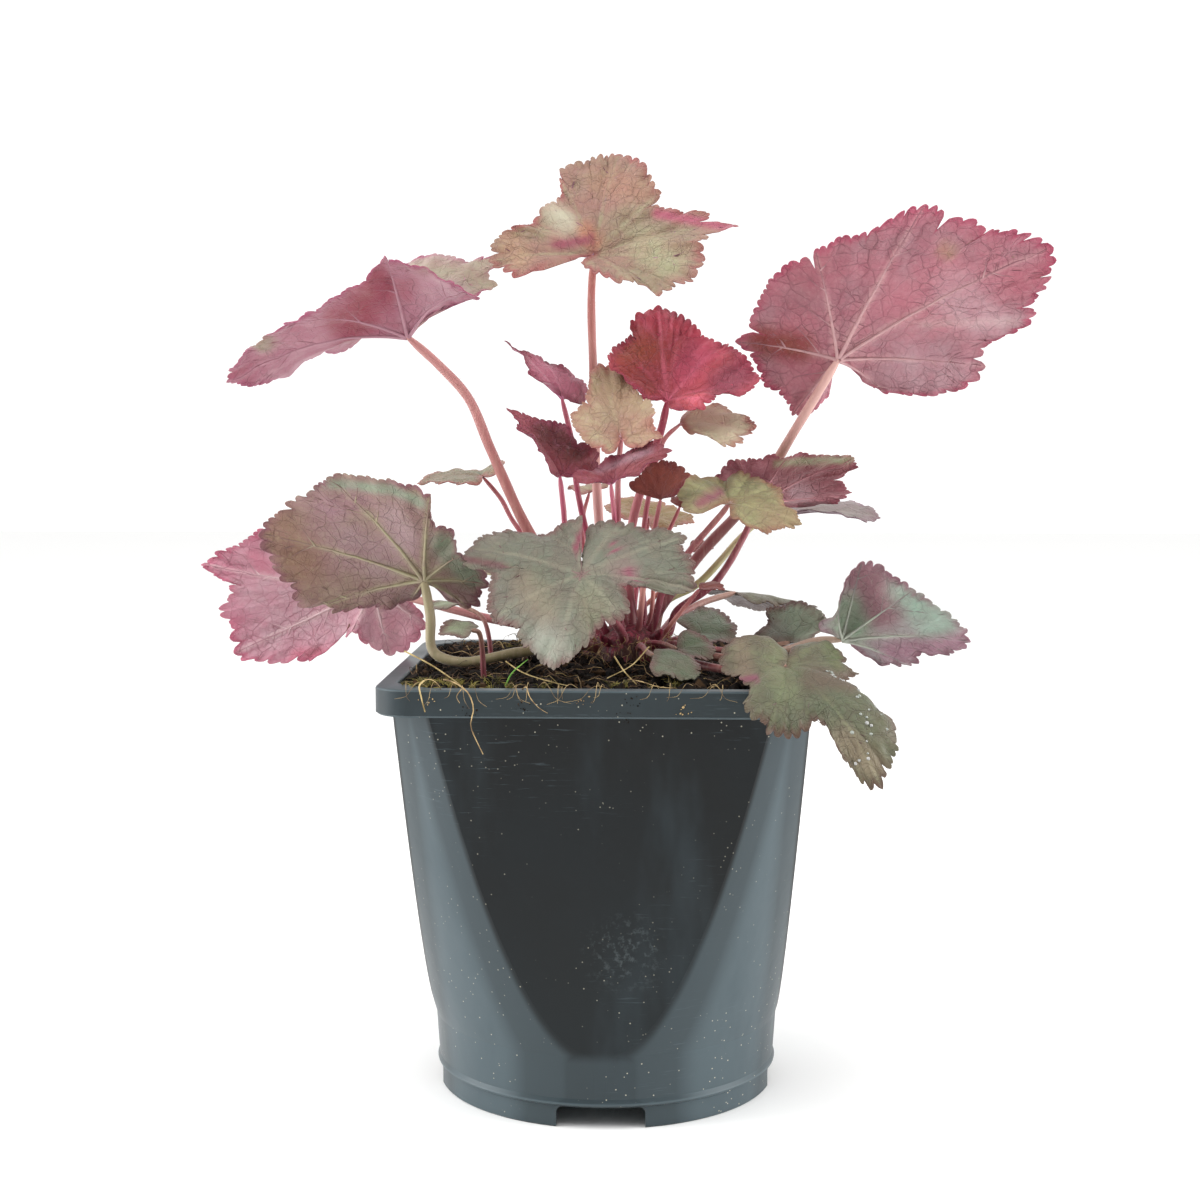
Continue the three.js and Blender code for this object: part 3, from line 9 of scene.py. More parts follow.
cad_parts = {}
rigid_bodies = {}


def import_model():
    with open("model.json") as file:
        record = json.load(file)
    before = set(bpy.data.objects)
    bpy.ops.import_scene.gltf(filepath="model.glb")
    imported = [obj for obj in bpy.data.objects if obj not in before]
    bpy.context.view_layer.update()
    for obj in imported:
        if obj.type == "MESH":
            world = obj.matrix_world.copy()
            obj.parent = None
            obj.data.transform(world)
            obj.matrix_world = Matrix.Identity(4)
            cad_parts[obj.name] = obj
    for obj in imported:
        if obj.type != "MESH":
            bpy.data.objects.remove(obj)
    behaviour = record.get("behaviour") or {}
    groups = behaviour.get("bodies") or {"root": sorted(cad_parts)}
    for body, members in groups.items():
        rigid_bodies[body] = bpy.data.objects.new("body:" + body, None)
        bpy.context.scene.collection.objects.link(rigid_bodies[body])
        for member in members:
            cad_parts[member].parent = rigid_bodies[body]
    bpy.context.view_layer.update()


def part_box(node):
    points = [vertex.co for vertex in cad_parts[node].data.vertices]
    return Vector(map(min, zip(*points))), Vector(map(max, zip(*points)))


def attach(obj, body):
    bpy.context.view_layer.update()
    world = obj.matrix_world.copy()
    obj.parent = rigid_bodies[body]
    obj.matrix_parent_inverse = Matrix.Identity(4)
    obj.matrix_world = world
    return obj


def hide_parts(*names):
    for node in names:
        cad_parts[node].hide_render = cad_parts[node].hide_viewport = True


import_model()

# ---- The view, the floor and the light -----------------------------------------------------------
# The plant stands on a plain pale table in a white room, lit softly from all round. Lengths are in
# millimetres from the pot's axis, and become metres in the frame where a mesh is made.

MM = 0.001
pot_low, pot_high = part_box("pot")
AXIS = Vector(((pot_low[0] + pot_high[0]) / 2, (pot_low[1] + pot_high[1]) / 2, 0))

CAMERA_PLACE = (19.7, -619.7, 209)
CAMERA_TILT = 84.736
CAMERA_TURN = 2.005
CAMERA_LENS = 59.43
CAMERA_NEAR = 10
FLOOR_HALF_WIDTH = 3000
# The room is white at the sides and behind the plant, and darker on the camera's side.
ROOM_LIGHT = {"From Min": -0.9, "From Max": -0.25, "To Min": 0.15, "To Max": 1.15}
# Each softbox: its place and its width and height in metres, and its power in watts.
SOFTBOXES = {
    "softbox_left": ((-1.15, -0.1, 0.45), (0.7, 1.2), 13),
    "softbox_right": ((1.15, -0.1, 0.45), (0.7, 1.2), 13),
    "softbox_top": ((-0.2, -0.6, 1.5), (1.0, 1.0), 9),
}
LAMP_AIM = Vector((0, 0, 0.17))


def add_object(name, data):
    thing = bpy.data.objects.new(name, data)
    bpy.context.collection.objects.link(thing)
    return thing


camera = add_object("camera", bpy.data.cameras.new("camera"))
camera.data.lens = CAMERA_LENS
camera.data.clip_start = CAMERA_NEAR * MM
camera.location = AXIS + Vector(CAMERA_PLACE) * MM
camera.rotation_euler = (radians(CAMERA_TILT), 0, radians(CAMERA_TURN))
bpy.context.scene.camera = camera
bpy.context.scene.view_settings.view_transform = "Standard"

for name, (place, size, power) in SOFTBOXES.items():
    lamp = add_object(name, bpy.data.lights.new(name, "AREA"))
    lamp.data.shape = "RECTANGLE"
    lamp.data.size, lamp.data.size_y = size
    lamp.data.energy = power
    lamp.location = place
    lamp.rotation_euler = (LAMP_AIM - lamp.location).to_track_quat("-Z", "Y").to_euler()


def tone(code):
    """A colour code as linear red, green, blue and alpha."""
    parts = [int(code[i : i + 2], 16) / 255 for i in (1, 3, 5)]
    linear = [c / 12.92 if c <= 0.04045 else ((c + 0.055) / 1.055) ** 2.4 for c in parts]
    return (*linear, 1)


class Nodes:
    """A node tree, with a short call that adds a node and sets or links its inputs."""

    def __init__(self, tree):
        self.tree = tree

    def put(self, socket, value):
        """Gives a socket a number, a colour or a colour code, or links it to another node's output."""
        if isinstance(value, bpy.types.NodeSocket):
            self.tree.links.new(value, socket)
        else:
            socket.default_value = tone(value) if isinstance(value, str) and value[0] == "#" else value

    def node(self, kind, inputs, output=0, **settings):
        """Inputs and the output that is given back go by name or by number."""
        node = self.tree.nodes.new(kind)
        for title, value in settings.items():
            setattr(node, title, value)
        for title, value in inputs.items():
            self.put(node.inputs[title], value)
        return node.outputs if output is None else node.outputs[output]


room = bpy.data.worlds.new("room")
room.use_nodes = True
bpy.context.scene.world = room
room_nodes = Nodes(room.node_tree)
looking = room_nodes.node("ShaderNodeTexCoord", {}, "Generated")
to_the_back = room_nodes.node("ShaderNodeSeparateXYZ", {0: looking}, "Y")
shade = room_nodes.node("ShaderNodeMapRange", {"Value": to_the_back, **ROOM_LIGHT})
backdrop = room.node_tree.nodes["Background"]
room_nodes.put(backdrop.inputs["Color"], "#ffffff")
room_nodes.put(backdrop.inputs["Strength"], shade)


class Paint(Nodes):
    """A node material on one Principled shader, with short calls for the nodes it is made of."""

    def __init__(self, name, roughness=0.6, **sockets):
        self.material = bpy.data.materials.new(name)
        self.material.use_nodes = True
        super().__init__(self.material.node_tree)
        self.shader = self.tree.nodes["Principled BSDF"]
        for socket, value in {"Roughness": roughness, **sockets}.items():
            self.shader.inputs[socket.replace("_", " ")].default_value = value

    def object_place(self):
        return self.node("ShaderNodeTexCoord", {}, "Object")

    def attribute(self, name, output="Fac"):
        return self.node("ShaderNodeAttribute", {}, output, attribute_name=name)

    def moved(self, place, scale=(1, 1, 1), turn=(0, 0, 0), shift=(0, 0, 0)):
        inputs = {"Vector": place, "Scale": scale, "Rotation": turn, "Location": shift}
        return self.node("ShaderNodeMapping", inputs)

    def noise(self, place, scale, detail=3, roughness=0.5):
        inputs = {"Vector": place, "Scale": scale, "Detail": detail, "Roughness": roughness}
        return self.node("ShaderNodeTexNoise", inputs)

    def cells(self, place, scale, feature="F1"):
        inputs = {"Vector": place, "Scale": scale}
        return self.node("ShaderNodeTexVoronoi", inputs, "Distance", feature=feature)

    def ramp(self, value, low, high, start=0.0, end=1.0, **settings):
        """`start` where the value is `low`, `end` where it is `high`, and a smooth step between."""
        inputs = {"Value": value, "From Min": low, "From Max": high, "To Min": start, "To Max": end}
        return self.node("ShaderNodeMapRange", inputs, **{"interpolation_type": "SMOOTHSTEP", **settings})

    def maths(self, operation, first, *others):
        """One operation through all the values, in turn."""
        for other in others or (0.0,):
            first = self.node("ShaderNodeMath", {0: first, 1: other}, operation=operation)
        return first

    def times(self, *values):
        return self.maths("MULTIPLY", *values)

    def mixed(self, share, first, second):
        # The Mix node's sockets for colours are its inputs 6 and 7 and its output 2.
        return self.node("ShaderNodeMix", {0: share, 6: first, 7: second}, 2, data_type="RGBA")

    def layered(self, base, *coats):
        """A colour with others laid over it, each by its own share."""
        for share, coat in coats:
            base = self.mixed(share, base, coat)
        return base

    def colour(self, value):
        self.put(self.shader.inputs["Base Color"], value)

    def rough(self, value):
        self.put(self.shader.inputs["Roughness"], value)

    def relief(self, height, depth, strength=1.0):
        """Bump of `height` from 0 to 1 over a depth in millimetres."""
        inputs = {"Height": height, "Distance": depth * MM, "Strength": strength}
        self.put(self.shader.inputs["Normal"], self.node("ShaderNodeBump", inputs, "Normal"))


def mesh_object(name, points, faces):
    """A smooth-shaded mesh whose points are given in millimetres from the pot's axis."""
    mesh = bpy.data.meshes.new(name)
    placed = np.asarray(points, float) * MM + np.array(AXIS)
    mesh.from_pydata(placed.tolist(), [], [tuple(face) for face in faces])
    mesh.polygons.foreach_set("use_smooth", [True] * len(mesh.polygons))
    mesh.update()
    return add_object(name, mesh)


SQUARE = ((-1, -1), (1, -1), (1, 1), (-1, 1))
floor_corners = [(x * FLOOR_HALF_WIDTH, y * FLOOR_HALF_WIDTH, 0) for x, y in SQUARE]
floor = mesh_object("table_top", floor_corners, [(0, 1, 2, 3)])
floor_paint = Paint("pale_table", roughness=0.8)
floor_paint.colour("#fbfbfa")
floor.data.materials.append(floor_paint.material)

# ---- The pot -------------------------------------------------------------------------------------
# A thin injection-moulded nursery pot in black polypropylene: a square turned-out rim, four flat
# panels that narrow to a point, cone-shaped corners between them, and a round foot with notches.

POT_HEIGHT = 132
RIM_HALF_WIDTH = 65
RIM_CORNER_RADIUS = 11
RIM_HEIGHT = 8
WALL = 1.6
PANEL_HALF_WIDTH_TOP = 61
PANEL_HALF_WIDTH_FOOT = 53
PANEL_APEX_HEIGHT = 22
PANEL_HALF_SPAN_TOP = 49
STEP_HEIGHT = 7.5
STEP_RADIUS = 53.7
FOOT_RADIUS = 52.7
FLOOR_BOTTOM = 7
FLOOR_TOP = 8.6
NOTCH_WIDTH = 26.4
NOTCH_HEIGHT = 6.4
NOTCH_CORNER = 2
DRAIN_RADIUS = 4
DRAIN_CIRCLE = 37
DRAIN_HOLES = 8
DRAIN_SIDES = 24
EDGE_ROUND = 0.6
POT_SHARP_ANGLE = 14
PANEL_LEVELS = 40
INSIDE_LEVELS = 12
FLAT_STEPS = 12
CORNER_STEPS = 24
SMEAR_PLACE = (7, -57, 54)
RIM_EDGE_COLOUR = "#59666b"


def turned_sides(side):
    """One side of a level, from a flat through its corner, turned round the axis four times."""
    ring = []
    for k in range(4):
        c, s = round(cos(k * pi / 2)), round(sin(k * pi / 2))
        ring += [(c * x - s * y, s * x + c * y, z) for x, y, z in side]
    return ring


def panel_distance(z):
    share = (z - STEP_HEIGHT) / (POT_HEIGHT - RIM_HEIGHT - STEP_HEIGHT)
    return PANEL_HALF_WIDTH_FOOT + (PANEL_HALF_WIDTH_TOP - PANEL_HALF_WIDTH_FOOT) * share


def panel_half_span(z):
    share = (z - PANEL_APEX_HEIGHT) / (POT_HEIGHT - RIM_HEIGHT - PANEL_APEX_HEIGHT)
    return PANEL_HALF_SPAN_TOP * sqrt(max(share, 0.002))


def arc_side(flat, span, z, flat_is_round=False):
    """A flat and the arc about the axis that joins it to the next one."""
    radius = hypot(flat, span)
    edge = atan2(span, flat)
    side = []
    for i in range(FLAT_STEPS + 1):
        y = span * (2 * i / FLAT_STEPS - 1)
        x = sqrt(radius**2 - y**2) if flat_is_round else flat
        side.append((x, y, z))
    for i in range(1, CORNER_STEPS):
        angle = edge + (pi / 2 - 2 * edge) * i / CORNER_STEPS
        side.append((radius * cos(angle), radius * sin(angle), z))
    return side


def body_ring(z, inset=0.0):
    return turned_sides(arc_side(panel_distance(z) - inset, panel_half_span(z), z))


def round_ring(z, radius):
    edge = atan2(panel_half_span(0), PANEL_HALF_WIDTH_FOOT)
    return turned_sides(arc_side(radius * cos(edge), radius * sin(edge), z, True))


def rim_ring(z, half_width):
    centre = half_width - RIM_CORNER_RADIUS
    side = [(half_width, centre * (2 * i / FLAT_STEPS - 1), z) for i in range(FLAT_STEPS + 1)]
    for i in range(1, CORNER_STEPS):
        angle = pi / 2 * i / CORNER_STEPS
        x = centre + RIM_CORNER_RADIUS * cos(angle)
        side.append((x, centre + RIM_CORNER_RADIUS * sin(angle), z))
    return turned_sides(side)


def loft(rings, first_centre, last_centre):
    """Points and faces of a closed skin through stacked levels, capped at both ends."""
    count = len(rings[0])
    points = [p for ring in rings for p in ring] + [first_centre, last_centre]
    faces = []
    for level in range(len(rings) - 1):
        for i in range(count):
            a, b = level * count + i, level * count + (i + 1) % count
            faces.append((a, b, b + count, a + count))
    first, last = len(points) - 2, len(points) - 1
    top = (len(rings) - 1) * count
    for i in range(count):
        faces.append((first, (i + 1) % count, i))
        faces.append((last, top + i, top + (i + 1) % count))
    return points, faces


def body_levels(low, high, count):
    """Heights that crowd towards the panels' apex, where their edges turn fastest."""
    span = high - PANEL_APEX_HEIGHT
    return [low, (low + PANEL_APEX_HEIGHT) / 2] + [
        PANEL_APEX_HEIGHT + span * (k / count) ** 2 for k in range(1, count + 1)
    ]


def pot_skin():
    rim = POT_HEIGHT - RIM_HEIGHT
    rings = [round_ring(FLOOR_BOTTOM, FOOT_RADIUS - WALL), round_ring(0, FOOT_RADIUS - WALL)]
    rings += [round_ring(0, FOOT_RADIUS - 0.4), round_ring(0.4, FOOT_RADIUS)]
    rings += [round_ring(STEP_HEIGHT - 1, FOOT_RADIUS), round_ring(STEP_HEIGHT - 0.5, STEP_RADIUS - 0.1)]
    rings += [round_ring(STEP_HEIGHT, STEP_RADIUS)]
    rings += [body_ring(z) for z in body_levels(STEP_HEIGHT + 1.5, rim, PANEL_LEVELS)]
    for turn in (0, 0.5, 1):
        drop = EDGE_ROUND * (1 - sin(turn * pi / 2))
        out = EDGE_ROUND * cos(turn * pi / 2)
        rings.append(rim_ring(rim + EDGE_ROUND - drop, RIM_HALF_WIDTH - out))
    for turn in (0, 0.5, 1):
        drop = EDGE_ROUND * (1 - sin(turn * pi / 2))
        out = EDGE_ROUND * (1 - cos(turn * pi / 2))
        rings.append(rim_ring(POT_HEIGHT - drop, RIM_HALF_WIDTH - out))
    for drop, inset in ((0, WALL - EDGE_ROUND), (0.2, WALL - 0.2), (EDGE_ROUND, WALL)):
        rings.append([(x, y, POT_HEIGHT - drop) for x, y, z in body_ring(rim, inset)])
    rings += [body_ring(z, WALL) for z in reversed(body_levels(FLOOR_TOP, rim, INSIDE_LEVELS))]
    return loft(rings, (0, 0, FLOOR_BOTTOM), (0, 0, FLOOR_TOP))


def prism(outline, direction, length):
    """A straight bar with the given outline, lying along x or y through the axis."""
    points = []
    for end in (-length / 2, length / 2):
        for across, z in outline:
            points.append((end, across, z) if direction == "x" else (across, end, z))
    count = len(outline)
    faces = [tuple(range(count)), tuple(range(2 * count - 1, count - 1, -1))]
    faces += [(i, (i + 1) % count, count + (i + 1) % count, count + i) for i in range(count)]
    return points, faces


def notch_outline():
    half = NOTCH_WIDTH / 2
    outline = [(-half, -2), (half, -2)]
    for side in (1, -1):
        for k in range(6):
            turn = radians(18 * (k if side > 0 else 5 - k))
            across = half - NOTCH_CORNER + NOTCH_CORNER * cos(turn)
            outline.append((side * across, NOTCH_HEIGHT - NOTCH_CORNER + NOTCH_CORNER * sin(turn)))
    return outline


def face_outwards(piece):
    mesh = bmesh.new()
    mesh.from_mesh(piece.data)
    bmesh.ops.recalc_face_normals(mesh, faces=mesh.faces)
    mesh.to_mesh(piece.data)
    mesh.free()


def drain_plug(number):
    """A short round bar through the floor, where a drain hole goes."""
    bearing = (number + 0.5) * 2 * pi / DRAIN_HOLES
    x, y = DRAIN_CIRCLE * cos(bearing), DRAIN_CIRCLE * sin(bearing)
    turns = [2 * pi * k / DRAIN_SIDES for k in range(DRAIN_SIDES)]
    ends = (FLOOR_BOTTOM - 2, FLOOR_TOP + 2)
    circle = [(x + DRAIN_RADIUS * cos(a), y + DRAIN_RADIUS * sin(a)) for a in turns]
    rings = [[(*corner, z) for corner in circle] for z in ends]
    return loft(rings, (x, y, ends[0]), (x, y, ends[1]))


def finished_mesh(piece):
    """The piece's mesh with its modifiers run, which are then taken off."""
    bpy.context.view_layer.update()
    evaluated = piece.evaluated_get(bpy.context.evaluated_depsgraph_get())
    finished = bpy.data.meshes.new_from_object(evaluated)
    piece.modifiers.clear()
    return finished


def cut_away(piece, cutters):
    """Takes the cutters out of a piece, and removes them."""
    for cutter in cutters:
        face_outwards(cutter)
        cut = piece.modifiers.new("cut", "BOOLEAN")
        cut.operation = "DIFFERENCE"
        cut.solver = "EXACT"
        cut.object = cutter
    piece.data = finished_mesh(piece)
    for cutter in cutters:
        bpy.data.objects.remove(cutter)


def dress(piece, paint):
    piece.data.materials.clear()
    piece.data.materials.append(paint.material)


pot = mesh_object("nursery_pot", *pot_skin())
cutters = [mesh_object(f"notch_{way}", *prism(notch_outline(), way, 4 * FOOT_RADIUS)) for way in "xy"]
cutters += [mesh_object(f"drain_{number}", *drain_plug(number)) for number in range(DRAIN_HOLES)]
cut_away(pot, cutters)
pot.data.set_sharp_from_angle(angle=radians(POT_SHARP_ANGLE))

plastic = Paint("black_polypropylene", roughness=0.34, Specular_IOR_Level=0.25)
place = plastic.object_place()
from_axis = plastic.moved(place, shift=tuple(-AXIS))
across, along, height = plastic.node("ShaderNodeSeparateXYZ", {0: from_axis}, None)
clouds = plastic.noise(place, 22, 4)

# Painted highlight: the cone-shaped corners are painted a lighter grey where the panels end, most of
# all along the creases, down to a line round the foot, for the softboxes' reflection in them.
panel_here = plastic.ramp(
    height, STEP_HEIGHT * MM, POT_HEIGHT * MM, PANEL_HALF_WIDTH_FOOT * MM, panel_distance(POT_HEIGHT) * MM,
    interpolation_type="LINEAR", clamp=False,
)
farthest = plastic.maths("MAXIMUM", plastic.maths("ABSOLUTE", across), plastic.maths("ABSOLUTE", along))
off_panel = plastic.maths("SUBTRACT", panel_here, farthest)
corner = plastic.maths(
    "MAXIMUM",
    plastic.ramp(off_panel, 0, 9 * MM),
    plastic.ramp(off_panel, 0.1 * MM, 1.3 * MM, 0, 0.55),
    plastic.ramp(height, 19.5 * MM, 24 * MM, 0.42, 0),
)
lit_foot = plastic.ramp(height, 10 * MM, 105 * MM, 0.5, 0)
on_rim = plastic.ramp(height, 123.6 * MM, 124.4 * MM, 0, 0.34)
haze = plastic.ramp(plastic.noise(plastic.moved(place, (34, 34, 10)), 1, 4, 0.6), 0.48, 0.74, 0, 0.36)

# Level scuffs in patches, one dried smear, specks of dust near the rim and the foot, and paler lines along
# the rim's two edges and the foot's step.
scratches = plastic.noise(plastic.moved(place, (40, 40, 620), (0.5, 0.35, 0)), 3, 3, 0.6)
scuffed = plastic.ramp(plastic.noise(place, 17, 2), 0.48, 0.62)
scuffs = plastic.times(plastic.ramp(scratches, 0.6, 0.72, 0, 0.3), scuffed)
from_smear = plastic.moved(place, shift=tuple(-Vector(SMEAR_PLACE) * MM - AXIS))
from_smear = plastic.node("ShaderNodeVectorMath", {0: from_smear}, "Value", operation="LENGTH")
dabs = plastic.ramp(plastic.noise(place, 420, 5, 0.7), 0.5, 0.68)
smear = plastic.times(dabs, plastic.ramp(from_smear, 4 * MM, 15 * MM, 1, 0), 0.16)
dust = plastic.times(
    plastic.ramp(plastic.cells(place, 430), 0.045, 0.12, 1, 0),
    plastic.ramp(plastic.noise(place, 34, 2), 0.42, 0.56),
    plastic.maths(
        "MAXIMUM",
        plastic.ramp(height, 18 * MM, 60 * MM, 1, 0.4),
        plastic.ramp(height, 100 * MM, 125 * MM, 0, 0.9),
    ),
)
pale_edge_lines = []
for edge in (POT_HEIGHT - 0.2, POT_HEIGHT - RIM_HEIGHT + 0.2, STEP_HEIGHT):
    from_edge = plastic.maths("ABSOLUTE", plastic.maths("SUBTRACT", height, edge * MM))
    pale_edge_lines.append((plastic.ramp(from_edge, 0.15 * MM, 0.5 * MM, 0.6, 0), RIM_EDGE_COLOUR))
plastic.colour(plastic.layered(
    plastic.mixed(plastic.ramp(clouds, 0.35, 0.7), "#05090b", "#0e1417"),
    (lit_foot, "#1b2326"), (plastic.times(corner, 0.74), "#59676d"), (on_rim, "#4a5559"),
    (haze, "#3a464c"), (scuffs, "#56646a"), (smear, "#8d999c"), (dust, "#c2beab"), *pale_edge_lines,
))
matt = plastic.ramp(clouds, 0.3, 0.75, 0.3, 0.42)
plastic.rough(plastic.maths("ADD", matt, plastic.times(haze, 0.2)))
plastic.relief(plastic.noise(place, 60, 3), 0.25)
dress(pot, plastic)
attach(pot, "root")
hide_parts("pot")

# ---- The soil ------------------------------------------------------------------------------------
# Dark, wet peat that mounds up a little towards the middle. Its top is rough with crumbs, and the
# rest of it fills the pot down to the floor.

SOIL_EDGE_HEIGHT = 130.6
SOIL_MOUND = 4.6
SOIL_MOUND_CENTRE = (2, 10)
SOIL_MOUND_SPREAD = 27
CRUMB_HEIGHT = 0.5
GAP = 0.3
SOIL_RINGS = 70
SOIL_ROUGHNESS = 1.5


def crumb_wave(x, y):
    first = sin(0.31 * x + 0.17 * y) * cos(0.23 * y - 0.11 * x)
    return first + 0.7 * sin(0.53 * y + 0.2 * x + 1.3) * sin(0.47 * x - 0.35 * y)


def soil_height(x, y):
    away = (x - SOIL_MOUND_CENTRE[0]) ** 2 + (y - SOIL_MOUND_CENTRE[1]) ** 2
    mound = SOIL_MOUND * exp(-away / (2 * SOIL_MOUND_SPREAD**2))
    return SOIL_EDGE_HEIGHT + mound + CRUMB_HEIGHT * crumb_wave(x, y)


def rough_soil_height(x, y):
    lumps = noise.fractal(Vector((x * 0.16, y * 0.16, 3.1)), 0.9, 2.1, 5)
    return soil_height(x, y) + SOIL_ROUGHNESS * lumps


def soil_skin():
    inset = WALL + GAP
    levels = body_levels(FLOOR_TOP + GAP, POT_HEIGHT - RIM_HEIGHT, INSIDE_LEVELS)
    sides = [body_ring(z, inset) for z in levels]
    brim = sides[-1]
    rings = list(sides)
    for k in range(SOIL_RINGS):
        share = 1 - k / SOIL_RINGS
        settle = min(1, k / 3)
        ring = []
        for x, y, z in brim:
            px, py = x * share, y * share
            plain = soil_height(px, py)
            ring.append((px, py, plain + settle * (rough_soil_height(px, py) - plain)))
        rings.append(ring)
    return loft(rings, (0, 0, FLOOR_TOP + GAP), (0, 0, rough_soil_height(0, 0)))


soil = mesh_object("peat_soil", *soil_skin())
peat = Paint("wet_peat", roughness=0.92, Specular_IOR_Level=0.3)
place = peat.object_place()
grain = peat.noise(place, 700, 4, 0.7)
patches = peat.ramp(peat.noise(place, 55, 3), 0.45, 0.7, 0, 0.6)
peat.colour(peat.layered("#100c0a", (peat.ramp(grain, 0.35, 0.7), "#33271f"), (patches, "#2b2318")))
peat.relief(grain, 0.8)
dress(soil, peat)
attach(soil, "root")
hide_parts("soil")

# ---- The crown -----------------------------------------------------------------------------------
# The fleshy stock at the soil's middle that every leaf stalk springs from, wrapped in old stalk
# bases and crimson bud scales.

CROWN_CENTRE = (7, -2)
CROWN_RADIUS = 14
CROWN_SHOULDER = 133
CROWN_RISE = 12
CROWN_DEPTH = 8
CROWN_BASE_SHARE = 0.6
CROWN_BASE_PART = 0.25
BUD_RADIUS = 2.1
BUDS = [(238, 0.84, 9), (322, 0.76, 8), (120, 0.86, 8), (200, 0.84, 7)]


def crown_point(bearing, reach):
    """A point on the crown and the direction out of it."""
    angle = radians(bearing)
    up = sqrt(1 - reach * reach)
    turn = np.array([cos(angle), sin(angle)])
    x, y = np.array(CROWN_CENTRE) + CROWN_RADIUS * reach * turn
    point = np.array([x, y, CROWN_SHOULDER + CROWN_RISE * up])
    out = np.array([*(reach / CROWN_RADIUS * turn), up / CROWN_RISE])
    return point, out / np.linalg.norm(out)


def crown_skin():
    around, levels = 72, 26
    rings = []
    for k in range(levels + 1):
        share = k / levels
        if share < CROWN_BASE_PART:
            part = share / CROWN_BASE_PART
            radius = CROWN_RADIUS * (CROWN_BASE_SHARE + (1 - CROWN_BASE_SHARE) * part**0.6)
            z = CROWN_SHOULDER - CROWN_DEPTH * (1 - part)
        else:
            turn = (share - CROWN_BASE_PART) / (1 - CROWN_BASE_PART) * pi / 2
            radius = CROWN_RADIUS * max(cos(turn), 0.02)
            z = CROWN_SHOULDER + CROWN_RISE * sin(turn)
        ring = []
        for i in range(around):
            angle = 2 * pi * i / around
            fold = 0.035 * sin(9 * angle + 0.5 * z) + 0.02 * sin(17 * angle - 0.9 * z)
            ring.append((
                CROWN_CENTRE[0] + radius * (1 + fold) * cos(angle),
                CROWN_CENTRE[1] + radius * (1 + fold) * sin(angle),
                z,
            ))
        rings.append(ring)
    ends = [(*CROWN_CENTRE, CROWN_SHOULDER - CROWN_DEPTH), (*CROWN_CENTRE, CROWN_SHOULDER + CROWN_RISE)]
    return loft(rings, *ends)


def bud_skin(point, out, length, radius):
    """A pointed bud, a little flattened, standing out of the crown."""
    side = np.cross(out, (0.3, 0.2, 1.0))
    side /= np.linalg.norm(side)
    up = np.cross(out, side)
    rings = []
    for k in range(9):
        share = (k + 0.5) / 9.5
        width = radius * sin(pi * share) ** 0.8 * (1 - 0.35 * share)
        centre = point + out * length * (share - 0.4)
        turns = [a * pi / 7 for a in range(14)]
        rings.append([tuple(centre + width * (side * cos(a) + 0.75 * up * sin(a))) for a in turns])
    return loft(rings, tuple(point - out * length * 0.4), tuple(point + out * length * 0.62))


def join_pieces(name, pieces):
    """Joins pieces into the first one, which keeps every material."""
    first = pieces[0]
    if len(pieces) > 1:
        with bpy.context.temp_override(active_object=first, selected_editable_objects=pieces, object=first):
            bpy.ops.object.join()
    first.name = name
    return first


crown_parts = [mesh_object("stock", *crown_skin())]
for bearing, reach, length in BUDS:
    crown_parts.append(mesh_object("bud", *bud_skin(*crown_point(bearing, reach), length, BUD_RADIUS)))
flesh = Paint("crown_flesh", roughness=0.5)
place = flesh.object_place()
streaks = flesh.ramp(flesh.noise(flesh.moved(place, (260, 260, 60)), 3, 3), 0.4, 0.65)
brown = flesh.ramp(flesh.noise(place, 160, 3), 0.44, 0.58)
flesh.colour(flesh.layered("#571022", (streaks, "#8a2a3e"), (brown, "#4f2a22")))
flesh.relief(streaks, 0.3)
for part in crown_parts:
    face_outwards(part)
    dress(part, flesh)
crown = join_pieces("crown_and_buds", crown_parts)
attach(crown, "root")
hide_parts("crown")

# ---- The leaves ----------------------------------------------------------------------------------
# Thirty-three thin leaves. Each blade is lobed and toothed, has raised veins that spread from the
# top of its stalk and a puckered web between them, and has other colours above than below.

BLADE_THICKNESS = 0.42
EDGE_THICKNESS = 0.26
SLIGHT_CUT = 0.02
SHALLOW_CUT = 0.03
SHALLOW_CUT_KEPT = 0.55
LOBE_ROUND = 0.94
WIDE_SECTOR = 24
FEW_TIPS = 9
# The teeth between two tips, for a blade with few tips and for any other: the most that the coarse
# ones go in, the same as a share of the reach, and the fine ones' share of it.
COARSE_TOOTH = {True: 1.1, False: 0.35}
COARSE_TOOTH_SHARE = {True: 0.055, False: 0.015}
FINE_TOOTH_SHARE = {True: 0.06, False: 0.04}
# How far apart the fine teeth are, and how deep as a share of that, for a large and a small blade.
LARGE_BLADE = 38
TOOTH_PITCH = {True: 2.9, False: 2.0}
TOOTH_DEPTH = {True: 0.29, False: 0.36}
SIDE_LOBE = 0.3
SIDE_STEPS = 7
SOFTENING = 9
VEIN_ARCH = 0.05
RUFFLE = 0.35
RUFFLE_SHARE = 0.018
DENTS = 1.7
RIB_SPREAD = 34
RIB_RADIUS = 0.62
BRANCH_APART = 8
BRANCH_SLANT = 40
BRANCH_PLACES = (0.34, 0.55, 0.76)
BRANCHED_REACH = 14
QUILT = 0.42
QUILT_REACH = 2.4
STEM_FOOT_RISE = 2.5
HOLE_DEPTH = 4
HAIR_DENSITY = 0.3
HAIR_LENGTH = 0.75
HAIR_RADIUS = 0.045
DROP_SIZES = (0.25, 0.62)
STALK_FOOT_COLOUR = "#6c1a2e"
LEAF_SHARP_ANGLE = 50
TOOTH_STEPS = 6
FULL_VEIN_REACH = 50
VEIN_SUNK = 0.17
VEIN_SIDES = 6
STALK_STEPS = 60
STALK_SIDES = 14
DROP_SIDES = 10
DROP_HEIGHT = 0.65
DROP_LIFT = 0.2
